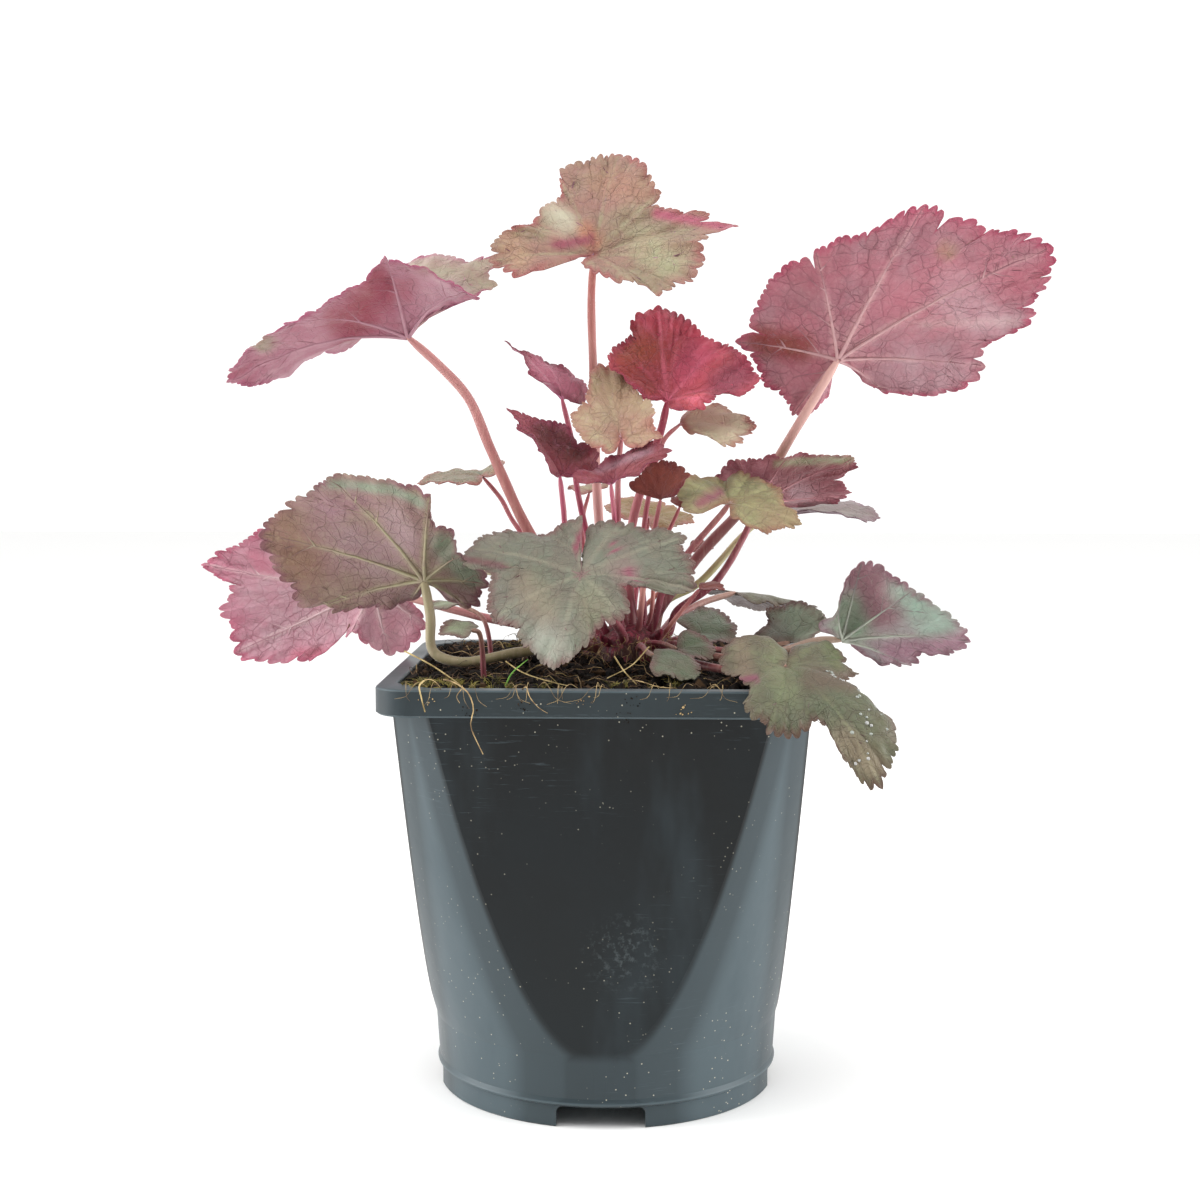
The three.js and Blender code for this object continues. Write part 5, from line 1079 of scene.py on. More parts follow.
LEAVES["olive_low_right"] = dict(
    tint="grey_green", foot=(25, 0.92), thick=(1, 0.8), joint=(28, 10, 140),
    stem=[(23, 7, 139)],
    wash=[("#64755c", 0.85, 18, (28, 143), (38, 141))],
    tips=[(29, 2, 138, 0.05), (41, 10, 139, 0.05), (34, 26, 147, 0.05), (23, 22, 145, 0.1)],
)
LEAVES["young_curled"] = dict(
    tint="dark_crimson", foot=(345, 0.75), thick=(0.8, 0.6), joint=(29, -8, 156),
    stem=[(21, -8, 146)],
    tips=[(32, -12, 156, 0.05), (37, -8, 156, 0.05), (34, -2, 158, 0.05), (31, -2, 158, 0.1)],
)
LEAVES["young_brown"] = dict(
    tint="dark_crimson", foot=(75, 0.45), thick=(0.8, 0.6), joint=(26, 18, 166),
    stem=[(17, 10, 154)],
    tips=[(31, 14, 166, 0.05), (34, 18, 167, 0.05), (32, 24, 169, 0.05), (28, 22, 169, 0.1)],
)
LEAVES["young_red"] = dict(
    tint="dark_crimson", foot=(20, 0.45), thick=(0.8, 0.6), joint=(23, 4, 181),
    stem=[(16, 3, 164)],
    tips=[(26, 2, 181, 0.05), (25, 6, 184, 0.05), (22, 8, 184, 0.05), (20, 4, 183, 0.1)],
)
LEAVES["back_middle"] = dict(
    tint="grey_green", foot=(95, 0.85), thick=(1.5, 1.1), joint=(-6, 58, 158),
    stem=[(4, 26, 152), (0, 44, 158)],
    tips=[
        (10, 50, 156, 0.05), (26, 60, 158, 0.05), (20, 80, 152, 0.08), (0, 92, 146, 0.05),
        (-22, 86, 150, 0.08), (-32, 66, 158, 0.05), (-22, 50, 160, 0.1),
    ],
)
LEAVES["back_left"] = dict(
    tint="mauve_brown", foot=(145, 0.88), thick=(1.5, 1.1), joint=(-50, 52, 158),
    stem=[(-14, 20, 148), (-34, 40, 156)],
    tips=[
        (-40, 64, 160, 0.05), (-52, 80, 158, 0.08), (-72, 82, 152, 0.05), (-88, 66, 148, 0.08),
        (-84, 48, 152, 0.05), (-66, 38, 158, 0.1),
    ],
)
LEAVES["back_right"] = dict(
    tint="olive_green", foot=(58, 0.95), thick=(1.4, 1), joint=(42, 48, 150),
    stem=[(22, 26, 144), (32, 38, 148)],
    tips=[
        (50, 34, 148, 0.05), (66, 40, 146, 0.08), (74, 56, 140, 0.05), (64, 72, 138, 0.08),
        (46, 74, 142, 0.05), (34, 62, 148, 0.1),
    ],
)

# A tint: the slot, two tones each of the upper and the under side, the edge, the fine net, the main
# veins under and above, and then the stalk from its foot to the blade.
TINTS = {
    "rose": ("olive", "9b9876 9b7d66 b26f7b 9f7079 a33e5a 78424f cda1a2 b3a886", "8a4f50 d8aaa2"),
    "rose_fold": ("mauve", "9b907a a58d86 9f5b6a a97483 9c3f64 824354 ba8d9a baa894", "b06a66 c98b88"),
    "amber": ("olive", "987567 897c61 723c4d 865166 97514f 5a2d3c a37b86 9f9877", "e0aca6 a65e56"),
    # The raspberry tones are the cup leaf's own crimson, brightened with painted glow for the light that
    # shines through its thin blade.
    "raspberry": ("crimson", "a23f43 bf444a b63553 c83b58 8b213b 8d1d39 ea819c e5768e", "d08488 a23850"),
    "crimson": ("crimson", "7b3536 8c3e47 973756 a54669 77223b 6b1c33 bb7292 9d575e", "a8405a b05068"),
    "dark_crimson": ("crimson", "723f31 834134 873238 923b3e 641e24 5a171d b1605f 924d3e", "cf8a80 a8565c"),
    "olive": ("olive", "b4967c a79b7a a5626d b37985 a5625a 854751 cdadb1 c1b78e", "a84458 b86a70"),
    "light_olive": ("olive", "938c62 81835d 976f6b 9e7d76 906550 7c4849 b49a8d acac7c", "8c3a48 b06a68"),
    "crimson_green": ("crimson", "aeba88 a8a67b 9e616b b4757d 893c4b 732e3a e0a4aa dad9a6", "7c3040 a05860"),
    "pale": ("mauve", "857b74 7e7572 8b737e 886b77 795865 6f525e 9d8991 988c88", "a8a070 c4b890"),
    "grey_green": ("green", "6f7062 636856 60363b 6b4245 6b4a46 48252b 837068 8d8c77", "8a3c48 96705e"),
    "mauve_brown": ("mauve", "879a77 7d8e71 927969 9f7e7d 824f59 73534a b7b28b afba8d", "8f8460 b0a480"),
    "pink": ("mauve", "9da189 a59884 c38596 be96a0 b65873 9f5f6e dfc4c6 c6c8a7", "a85a60 cc9890"),
    "mauve_green": ("mauve", "81a585 8db192 998789 979390 7f5360 67464e bac0af aed7ab", "8a5a50 a48a78"),
    "olive_green": ("olive", "535a41 5b5a44 5b4441 634f49 583f33 472d2b 766b5d 6d7452", "8a4448 a07868"),
}


def leaf_skin(name, tones, seed):
    """The blade's two faces: mottled, netted with fine veins, and flushed with crimson at the edge."""
    upper_a, upper_b, under_a, under_b, edge, net_tone, vein_under, vein_upper = tones
    skin = Paint(name, roughness=0.52, Specular_IOR_Level=0.4, Sheen_Weight=0.1, Sheen_Roughness=0.5)
    flat = skin.node("ShaderNodeUVMap", {}, "UV", uv_map="flat")
    flat = skin.moved(flat, shift=(seed, 0.37 * seed, 0))
    from_vein = skin.attribute("vein")
    from_rib = skin.attribute("rib")
    cloud = skin.noise(flat, 38)
    edge_cloud = skin.noise(skin.moved(flat, shift=(3, 1, 0)), 60)
    mottle = skin.noise(flat, 240, 3, 0.6)
    ripple = skin.node("ShaderNodeTexNoise", {"Vector": flat, "Scale": 330}, "Color")
    ripple = skin.node("ShaderNodeVectorMath", {0: ripple, "Scale": 0.0012}, operation="SCALE")
    bent = skin.node("ShaderNodeVectorMath", {0: flat, 1: ripple})
    wide_net = skin.ramp(skin.cells(bent, 190, "DISTANCE_TO_EDGE"), 0.006, 0.04, 1, 0)
    fine_net = skin.ramp(skin.cells(bent, 520, "DISTANCE_TO_EDGE"), 0.01, 0.09, 0.45, 0)
    net = skin.maths("MAXIMUM", wide_net, fine_net)
    net = skin.times(net, skin.ramp(edge_cloud, 0.34, 0.62, 0.4, 1))
    upper = skin.layered(
        upper_a,
        (skin.ramp(cloud, 0.36, 0.64), upper_b),
        (skin.ramp(mottle, 0.42, 0.8, 0, 0.22), vein_upper),
        (skin.ramp(from_vein, 0.1, 1.2, 0.4, 0), vein_upper),
        (skin.ramp(from_rib, 0.3, 1.8, 0.34, 0), vein_upper),
        (skin.times(net, 0.16), under_a),
    )
    under = skin.layered(
        under_a,
        (skin.ramp(cloud, 0.36, 0.62), under_b),
        (skin.ramp(mottle, 0.45, 0.85, 0, 0.18), vein_under),
        (skin.ramp(from_rib, 0.4, 2.8, 0.55, 0), vein_under),
        (skin.ramp(from_vein, 0.1, 0.7, 0.45, 0), net_tone),
        (skin.times(net, 0.5), net_tone),
    )
    flush = skin.ramp(skin.attribute("rim"), 0.1, 3.8, 0.95, 0)
    flush = skin.times(flush, skin.ramp(edge_cloud, 0.35, 0.6, 0.15, 1))
    both = skin.layered(
        upper,
        (skin.ramp(skin.attribute("under"), 0.45, 0.55), under),
        (skin.attribute("wash", "Alpha"), skin.attribute("wash", "Color")),
        (flush, edge),
    )
    blotch = skin.ramp(skin.noise(flat, 130, 4, 0.65), 0.38, 0.62, 0, 0.42)
    both = skin.mixed(blotch, both, skin.mixed(0.55, both, edge))
    fleck = skin.ramp(skin.noise(skin.moved(flat, shift=(0, 5, 2)), 700, 3, 0.6), 0.5, 0.72, 0, 0.28)
    skin.colour(skin.mixed(fleck, both, skin.mixed(0.6, both, vein_under)))
    skin.rough(skin.ramp(mottle, 0.3, 0.7, 0.44, 0.62))
    skin.relief(skin.maths("SUBTRACT", skin.times(mottle, 0.9), net), 0.42, 0.8)
    return skin


def vein_flesh(name, tones):
    """Pale along a rib near the stalk, and close to the blade's own colour further out."""
    web, net, pale = tones[3], tones[5], tones[6]
    flesh = Paint(name, roughness=0.5)
    patch = flesh.ramp(flesh.noise(flesh.object_place(), 400, 2), 0.35, 0.7, 0.15, 0.5)
    along = flesh.ramp(flesh.attribute("along"), 0.3, 1.0, 0, 0.6)
    thick = flesh.ramp(flesh.attribute("thick"), 0.16, 0.34)
    rib = flesh.layered(pale, (patch, web), (along, web))
    flesh.colour(flesh.mixed(thick, flesh.mixed(0.5, net, web), rib))
    flesh.relief(patch, 0.05)
    return flesh


def stalk_flesh(name, foot, top):
    """A stalk's skin, from the colour of its foot to that of its top, finely streaked lengthways."""
    flesh = Paint(name, roughness=0.45, Sheen_Weight=0.25, Sheen_Roughness=0.4)
    streak = flesh.noise(flesh.moved(flesh.object_place(), (900, 900, 90)), 1, 3)
    along = flesh.attribute("along")
    base = flesh.layered(
        foot, (flesh.ramp(along, 0.3, 0.95), top), (flesh.ramp(along, 0.06, 0.3, 0.85, 0), STALK_FOOT_COLOUR)
    )
    pale = flesh.mixed(0.35, base, "#e8c8b4")
    flesh.colour(flesh.mixed(flesh.ramp(streak, 0.45, 0.7, 0, 0.4), base, pale))
    flesh.relief(streak, 0.12)
    return flesh


def unit(vectors):
    return vectors / np.linalg.norm(vectors, axis=-1, keepdims=True)


def turn_towards(start, end, share):
    """Directions from one to another, by each share, at an even rate."""
    angle = acos(float(np.clip(start @ end, -1, 1)))
    if angle < 1e-4:
        return np.repeat(start[None], len(share), 0)
    share = share[:, None]
    return (np.sin((1 - share) * angle) * start + np.sin(share * angle) * end) / sin(angle)


def turn_about(vector, axis, angles):
    """A vector turned about an axis that it is square to, by each angle."""
    side = np.cross(axis, vector)
    along = axis * (axis @ vector)
    flat = vector - along
    return along + np.cos(angles)[:, None] * flat + np.sin(angles)[:, None] * side


def lobe(share, count):
    """A round lobe: 0 at its tip and 1 at the sharp notch on either side, `count` times."""
    away = np.arccos(np.clip(np.abs(np.cos(pi * count * share)), 0, 1)) / (pi / 2)
    return (1 - np.sqrt(1 - LOBE_ROUND * away**2)) / (1 - sqrt(1 - LOBE_ROUND))


class Blade:
    """The middle surface of a blade, in columns round the top of the stalk and rows out to the edge."""

    def __init__(self, leaf):
        self.leaf = leaf
        self.joint = np.array(leaf["joint"], float)
        tips = np.array([(*tip, SLIGHT_CUT)[:4] for tip in leaf["tips"]], float)
        self.arms = tips[:, :3] - self.joint
        self.reaches = np.linalg.norm(self.arms, axis=1)
        self.large = self.reaches.max() > LARGE_BLADE
        self.make_columns(tips[:, 3])
        self.make_grid()

    def make_columns(self, cuts):
        towards = unit(self.arms)
        across = unit(np.cross(self.arms[:-1], self.arms[1:]))
        normals = unit(np.vstack([across[:1], across]) + np.vstack([across, across[-1:]]))
        lap = self.leaf.get("lap", SIDE_LOBE)
        pitch = TOOTH_PITCH[self.large]
        few_tips = len(self.reaches) < FEW_TIPS
        directions, smooth, edge, upward, marks = [], [], [], [], []

        def side_lobe(i, sign):
            turn = np.linspace(0, 1, SIDE_STEPS + 1)[1:]
            share = 0.3 + 0.7 * np.sqrt(1 - turn**2)
            order = slice(None, None, -1) if sign < 0 else slice(None)
            directions.append(turn_about(towards[i], normals[i], sign * turn * lap)[order])
            smooth.append((self.reaches[i] * share)[order])
            edge.append((self.reaches[i] * share)[order])
            upward.append(np.repeat(normals[i][None], SIDE_STEPS, 0))
            marks.append(np.full(SIDE_STEPS, float(i)))

        side_lobe(0, -1)
        last = len(towards) - 1
        for i in range(last):
            apart = np.linalg.norm(self.arms[i] - self.arms[i + 1])
            teeth = max(1, 2 * round((apart / pitch - 1) / 2) + 1)
            share = np.linspace(0, 1, TOOTH_STEPS * teeth + 1)[: None if i == last - 1 else -1]
            length = self.reaches[i] + (self.reaches[i + 1] - self.reaches[i]) * share
            cut = cuts[i] * (SHALLOW_CUT_KEPT if cuts[i] <= SHALLOW_CUT else 1)
            main = length * (1 - cut * lobe(share, 1))
            coarse = np.minimum(COARSE_TOOTH[few_tips], COARSE_TOOTH_SHARE[few_tips] * length)
            coarse = coarse * lobe(share, 3 if few_tips or apart > WIDE_SECTOR else 1)
            fine = min(TOOTH_DEPTH[self.large] * pitch, FINE_TOOTH_SHARE[few_tips] * length.mean())
            fine = fine * lobe(share, teeth)
            directions.append(turn_towards(towards[i], towards[i + 1], share))
            smooth.append(length)
            edge.append(main - coarse - fine)
            upward.append(unit(normals[i] + (normals[i + 1] - normals[i]) * share[:, None]))
            marks.append(i + share)
        side_lobe(last, 1)
        self.directions = np.vstack(directions)
        self.smooth = np.concatenate(smooth)
        self.edge = np.concatenate(edge)
        self.upward = np.vstack(upward)
        self.marks = np.concatenate(marks)
        steps = np.clip(np.sum(self.directions[1:] * self.directions[:-1], axis=1), -1, 1)
        turn = np.concatenate([[0], np.cumsum(np.arccos(steps))])
        self.turn = turn - turn[-1] / 2

    def make_grid(self):
        shares = np.array([0] + ROWS[self.large])[:, None]
        self.shares = shares[:, 0]
        reach = shares * (self.smooth + (self.edge - self.smooth) * shares**2)
        apart = self.turn[:, None] - self.turn[None]
        weight = np.exp(-((apart / radians(SOFTENING)) ** 2)) * np.gradient(self.turn)[None]
        weight /= weight.sum(axis=1, keepdims=True)
        full_reach = 1.03 * (weight @ self.smooth)
        arch = 4 * self.leaf.get("arch", VEIN_ARCH)
        lift = arch * reach * (1 - reach / full_reach[None])
        self.reach = reach
        soft = unit(weight @ self.directions)
        upward = unit(weight @ self.upward)
        aside = self.directions - soft
        aside = aside - upward * np.sum(aside * upward, axis=1, keepdims=True)
        directions = unit(soft[None] + aside[None] * (shares**2)[:, :, None])
        self.grid = self.joint + directions * reach[:, :, None] + upward[None] * lift[:, :, None]
        self.ruffle()
        self.find_veins()
        self.quilt()

    def normals(self):
        outwards = np.gradient(self.grid, axis=0)
        sideways = np.gradient(self.grid, axis=1)
        sideways[0] = sideways[1]
        return unit(np.cross(outwards, sideways) + 1e-9)

    def ruffle(self):
        """Shallow waves that grow towards the edge."""
        size = min(RUFFLE_SHARE * self.reaches.max(), RUFFLE)
        wave = np.sin(self.marks * 2.4 + self.leaf["joint"][0]) + 0.6 * np.sin(self.marks * 5.3 + 1)
        x, y, z = np.moveaxis(self.grid, 2, 0)
        dents = np.sin(0.52 * x + 0.21 * z + self.leaf["joint"][2]) * np.sin(0.43 * z - 0.3 * x + 0.25 * y)
        dents += 0.5 * np.sin(0.9 * x - 0.6 * z + 2) * np.sin(0.8 * z + 0.5 * y + 1)
        dents *= DENTS * self.leaf.get("crumple", 1) * self.shares[:, None] ** 1.2
        size_here = size * (wave[None] * self.shares[:, None] ** 3 + dents)
        self.grid = self.grid + self.normals() * size_here[:, :, None]

    def column(self, turn):
        return np.interp(turn, self.turn, np.arange(len(self.turn)))

    def surface(self, turn, reach):
        """Points of the surface, by turn round the joint and reach from it, with their normals."""
        column = np.clip(self.column(turn), 0, len(self.turn) - 1.001)
        low = column.astype(int)
        part = (column - low)[:, None]
        smooth = np.interp(column, np.arange(len(self.smooth)), self.smooth)
        share = np.clip(reach / smooth, 0, 0.985)
        row = np.interp(share, self.shares, np.arange(len(self.shares)))
        under = np.clip(row.astype(int), 0, len(self.shares) - 2)
        rise = (row - under)[:, None]

        def sample(values):
            near = values[under, low] * (1 - part) + values[under, low + 1] * part
            far = values[under + 1, low] * (1 - part) + values[under + 1, low + 1] * part
            return near * (1 - rise) + far * rise

        return sample(self.grid), unit(sample(self.normals()))

    def tip_turn(self, i):
        columns = np.where(self.marks == i)[0]
        return self.turn[columns[len(columns) // 2] if 0 < i < len(self.reaches) - 1 else self.end_column(i)]

    def end_column(self, i):
        return SIDE_STEPS if i == 0 else len(self.turn) - 1 - SIDE_STEPS

    def find_veins(self):
        """The veins as runs of (turn, reach), each with its radius at the start and at the end."""
        count = len(self.reaches)
        turns = np.array([self.tip_turn(i) for i in range(count)])
        order = sorted(range(count), key=lambda i: -self.reaches[i])
        mains = []
        for i in order:
            if all(abs(turns[i] - turns[j]) > radians(RIB_SPREAD) for j in mains):
                mains.append(i)
        size = min(1.0, self.reaches.max() / FULL_VEIN_REACH)
        self.veins = []
        for i in mains:
            steps = np.linspace(0.01, 0.97, max(6, int(self.reaches[i] / 2.5)))
            run = np.full(len(steps), turns[i]), steps * self.reaches[i]
            self.veins.append((*run, RIB_RADIUS * size + 0.1, 0.12, 0))
        ends = [turns[i] for i in mains]
        for i in order:
            if i in mains or min(abs(turns[i] - end) for end in ends) < radians(BRANCH_APART):
                continue
            ends.append(turns[i])
            main = min(mains, key=lambda j: abs(turns[i] - turns[j]))
            self.branch(turns[main], turns[i], self.reaches[i] * 0.95, 0.26 * size + 0.05, 1)
        draw = np.random.default_rng(len(self.veins) + int(self.reaches.max()))
        for i in mains:
            for side in (-1, 1):
                beside = [side * (end - turns[i]) for end in ends if side * (end - turns[i]) > 0.02]
                room_beside = min(beside, default=0.5)
                for share in BRANCH_PLACES if self.reaches[i] >= BRANCHED_REACH else ():
                    start = self.reaches[i] * (share + draw.uniform(-0.05, 0.05))
                    spread = (1 - share) * self.reaches[i] * draw.uniform(0.4, 0.55)
                    ahead = start + spread * draw.uniform(1.05, 1.4)
                    aside = min(atan2(spread, ahead), 0.8 * room_beside)
                    goal, reach = turns[i] + side * aside, hypot(spread, ahead)
                    self.branch(turns[i], goal, reach, 0.1 * size + 0.05, 2)

    def branch(self, main, goal, reach, radius, order):
        """A side vein that leaves a main one at a slant and bends outwards to its goal."""
        slant = goal - main
        ahead, aside = reach * cos(slant), reach * sin(slant)
        start = max(0.6, ahead - abs(aside) / tan(radians(BRANCH_SLANT)))
        steps = np.linspace(0, 1, max(5, int(abs(reach - start) / 2.2)))
        bend = (start + 0.45 * (ahead - start), 0.55 * aside)
        x = (1 - steps) ** 2 * start + 2 * steps * (1 - steps) * bend[0] + steps**2 * ahead
        y = 2 * steps * (1 - steps) * bend[1] + steps**2 * aside
        turn = np.clip(main + np.arctan2(y, x), self.turn[0], self.turn[-1])
        self.veins.append((turn, np.hypot(x, y), radius, 0.07, order))

    def quilt(self):
        """Puffs the web up between the veins, and notes how far each point is from a vein."""
        turn = np.concatenate([vein[0] for vein in self.veins])
        reach = np.concatenate([vein[1] for vein in self.veins])
        nearest = np.full(self.reach.shape, inf)
        for row in range(len(self.shares)):
            away = np.clip(self.turn[:, None] - turn[None], -pi, pi)
            own = self.reach[row][:, None]
            gap = own**2 + reach[None] ** 2 - 2 * own * reach[None] * np.cos(away)
            nearest[row] = np.sqrt(np.maximum(gap.min(axis=1), 0))
        self.from_vein = nearest
        ribs = [vein for vein in self.veins if vein[4] == 0]
        turns = np.array([vein[0][0] for vein in ribs])
        aside = np.abs(self.turn[:, None] - turns[None]).min(axis=1)
        widening = 0.7 + 1.6 * self.shares[:, None]
        self.from_rib = self.reach * np.sin(np.minimum(aside, pi / 2))[None] * widening
        puff = QUILT * (1 - np.exp(-((nearest / QUILT_REACH) ** 2)))
        self.grid = self.grid + self.normals() * puff[:, :, None]

    def from_edge(self):
        ends = np.minimum(np.abs(self.turn - self.turn[0]), np.abs(self.turn - self.turn[-1]))
        beside = self.reach * np.sin(np.minimum(ends, pi / 2))[None]
        return np.minimum(self.edge[None] - self.reach, beside + 0.3)


def wash(points, strokes):
    """Patches of colour, each a soft stroke along a line as seen from the front: mostly the leaf's own
    tints, and a few strokes of painted shade.
    """
    painted = np.zeros((len(points), 4))
    for code, share, radius, *line in strokes:
        away = np.full(len(points), 1e3)
        line = [np.array(end, float) for end in line]
        for start, end in zip(line, line[1:] or line):
            along = end - start
            from_start = points[:, (0, 2)] - start
            part = np.clip(from_start @ along / max(along @ along, 1e-6), 0, 1)
            away = np.minimum(away, np.linalg.norm(from_start - part[:, None] * along, axis=1))
        new = share * np.exp(-((away / radius) ** 3))
        total = new + painted[:, 3] * (1 - new)
        blend = (new / np.maximum(total, 1e-6))[:, None]
        painted[:, :3] += blend * (np.array(tone(code)[:3]) - painted[:, :3])
        painted[:, 3] = total
    return painted


def blade_object(blade, name):
    rows, columns = blade.grid.shape[:2]
    share = blade.shares[:, None]
    half = (BLADE_THICKNESS + (EDGE_THICKNESS - BLADE_THICKNESS) * share) / 2
    offset = blade.normals() * half[:, :, None]
    flat = np.stack([blade.reach * np.cos(blade.turn), blade.reach * np.sin(blade.turn)], axis=-1) * MM
    used = [(0, 0)] + [(r, c) for r in range(1, rows) for c in range(columns)]
    pick = tuple(np.array(used).T)
    upper, lower = (blade.grid + offset)[pick], (blade.grid - offset)[pick]
    count = len(used)

    def at(row, column):
        return 0 if row == 0 else 1 + (row - 1) * columns + column

    faces = [(at(0, 0), at(1, c), at(1, c + 1)) for c in range(columns - 1)]
    for r in range(1, rows - 1):
        for c in range(columns - 1):
            faces.append((at(r, c), at(r + 1, c), at(r + 1, c + 1), at(r, c + 1)))
    faces += [tuple(count + i for i in reversed(face)) for face in faces]
    outline = [at(r, 0) for r in range(rows)] + [at(rows - 1, c) for c in range(1, columns)]
    outline += [at(r, columns - 1) for r in range(rows - 2, 0, -1)]
    for a, b in zip(outline, outline[1:] + outline[:1]):
        faces.append((a, count + a, count + b, b))
    piece = mesh_object(name, np.vstack([upper, lower]), faces)
    marks = {
        "under": np.repeat([0.0, 1.0], count),
        "rim": np.tile(blade.from_edge()[pick], 2),
        "vein": np.tile(blade.from_vein[pick], 2),
        "rib": np.tile(blade.from_rib[pick], 2),
    }
    for title, values in marks.items():
        layer = piece.data.attributes.new(title, "FLOAT", "POINT")
        layer.data.foreach_set("value", values.astype(np.float32))
    tint_and_shade_colours = np.tile(wash(blade.grid[pick], blade.leaf.get("wash", ())), (2, 1))
    layer = piece.data.attributes.new("wash", "FLOAT_COLOR", "POINT")
    layer.data.foreach_set("color", tint_and_shade_colours.astype(np.float32).ravel())
    flat_map = piece.data.uv_layers.new(name="flat")
    corners = np.empty(len(piece.data.loops), dtype=np.int32)
    piece.data.loops.foreach_get("vertex_index", corners)
    flat_map.data.foreach_set("uv", np.tile(flat[pick], (2, 1))[corners].ravel().astype(np.float32))
    return piece


class Growth(Nodes):
    """A geometry-nodes tree with named inputs, which turns a curve or a mesh into a finished mesh."""

    def __init__(self, name, **kinds):
        super().__init__(bpy.data.node_groups.new(name, "GeometryNodeTree"))
        self.ids = {}
        for title, kind in {"Geometry": "Geometry", **kinds, "Material": "Material"}.items():
            socket = self.tree.interface.new_socket(title, in_out="INPUT", socket_type=f"NodeSocket{kind}")
            self.ids[title] = socket.identifier
        self.tree.interface.new_socket("Geometry", in_out="OUTPUT", socket_type="NodeSocketGeometry")
        self.value = self.tree.nodes.new("NodeGroupInput").outputs

    def random_vector(self, low, high, seed=0):
        inputs = {"Min": low, "Max": high, "Seed": seed}
        return self.node("FunctionNodeRandomValue", inputs, data_type="FLOAT_VECTOR")

    def random_number(self, low, high):
        # A Random Value node's inputs 2 and 3 and its output 1 are those for plain numbers.
        return self.node("FunctionNodeRandomValue", {2: low, 3: high}, 1, data_type="FLOAT")

    def finish(self, geometry):
        real = self.node("GeometryNodeRealizeInstances", {"Geometry": geometry})
        inputs = {"Geometry": real, "Material": self.value["Material"]}
        dressed = self.node("GeometryNodeSetMaterial", inputs)
        self.put(self.tree.nodes.new("NodeGroupOutput").inputs[0], dressed)
        return self

    def grow(self, source, paint, **values):
        """Runs the tree on an object and gives back a plain mesh object; the source is removed."""
        grower = source.modifiers.new("growth", "NODES")
        grower.node_group = self.tree
        for title, value in {**values, "Material": paint.material}.items():
            grower[self.ids[title]] = value
        piece = add_object(source.name, finished_mesh(source))
        bpy.data.objects.remove(source)
        return piece


def tube_growth():
    """A round strand along each run of a curve, as thick as the curve's own radius."""
    growth = Growth("strand", Sides="Int")
    radius = growth.node("GeometryNodeInputRadius", {})
    along = growth.node("GeometryNodeSplineParameter", {}, "Factor")
    in_millimetres = growth.node("ShaderNodeMath", {0: radius, 1: 1 / MM}, operation="MULTIPLY")
    curve = growth.value["Geometry"]
    for title, value in (("along", along), ("thick", in_millimetres)):
        inputs = {"Geometry": curve, "Name": title, "Value": value}
        curve = growth.node("GeometryNodeStoreNamedAttribute", inputs, data_type="FLOAT", domain="POINT")
    inputs = {"Resolution": growth.value["Sides"], "Radius": 1.0}
    ring = growth.node("GeometryNodeCurvePrimitiveCircle", inputs)
    inputs = {"Curve": curve, "Profile Curve": ring, "Scale": radius, "Fill Caps": True}
    tube = growth.node("GeometryNodeCurveToMesh", inputs)
    return growth.finish(growth.node("GeometryNodeSetShadeSmooth", {"Geometry": tube}))


STRAND = tube_growth()


def strands(name, runs, paint, sides=4):
    """Round strands, one along each run: its points in millimetres and their radii."""
    curve = bpy.data.curves.new(name, "CURVE")
    curve.dimensions = "3D"
    for points, radii in runs:
        spline = curve.splines.new("POLY")
        spline.points.add(len(points) - 1)
        placed = np.asarray(points, float) * MM + np.array(AXIS)
        spline.points.foreach_set("co", np.c_[placed, np.ones(len(placed))].ravel())
        spline.points.foreach_set("radius", np.asarray(radii, float) * MM)
    return STRAND.grow(add_object(name, curve), paint, Sides=sides)


def vein_object(blade, paint):
    """The veins, set into the blade's under side so that about half of each stands out of it."""
    runs = []
    for turn, reach, start, end, order in blade.veins:
        points, normals = blade.surface(turn, reach)
        share = np.linspace(0, 1, len(points))
        radii = start + (end - start) * share**0.7
        sunk = np.maximum(radii - VEIN_SUNK, 0.04 if order else 0.1)
        runs.append((points - normals * sunk[:, None], radii))
    return strands("veins", runs, paint, VEIN_SIDES)


def smooth_path(points, count):
    """A centripetal Catmull-Rom curve through the points, at even steps along its length."""
    points = np.array(points, float)
    ends = [2 * points[0] - points[1], *points, 2 * points[-1] - points[-2]]
    fine = []
    for a, b, c, d in zip(ends, ends[1:], ends[2:], ends[3:]):
        gaps = [max(np.linalg.norm(q - p), 1e-6) ** 0.5 for p, q in ((a, b), (b, c), (c, d))]
        knots = np.cumsum([0] + gaps)
        for t in np.linspace(knots[1], knots[2], 24, endpoint=False):
            ab = a + (b - a) * (t - knots[0]) / (knots[1] - knots[0])
            bc = b + (c - b) * (t - knots[1]) / (knots[2] - knots[1])
            cd = c + (d - c) * (t - knots[2]) / (knots[3] - knots[2])
            abc = ab + (bc - ab) * (t - knots[0]) / (knots[2] - knots[0])
            bcd = bc + (cd - bc) * (t - knots[1]) / (knots[3] - knots[1])
            fine.append(abc + (bcd - abc) * (t - knots[1]) / (knots[2] - knots[1]))
    fine.append(points[-1])
    fine = np.array(fine)
    travelled = np.concatenate([[0], np.cumsum(np.linalg.norm(np.diff(fine, axis=0), axis=1))])
    even = np.linspace(0, travelled[-1], count)
    return np.stack([np.interp(even, travelled, fine[:, k]) for k in range(3)], axis=1)


def stalk_start(leaf):
    if "hole" in leaf:
        x, y = leaf["hole"]
        bottom = np.array([x, y, soil_height(x, y) - HOLE_DEPTH])
        return [bottom, bottom + (0, 0, HOLE_DEPTH + STEM_FOOT_RISE / 2)]
    point, out = crown_point(*leaf["foot"])
    return [point - out * 1.2, point + out * STEM_FOOT_RISE]


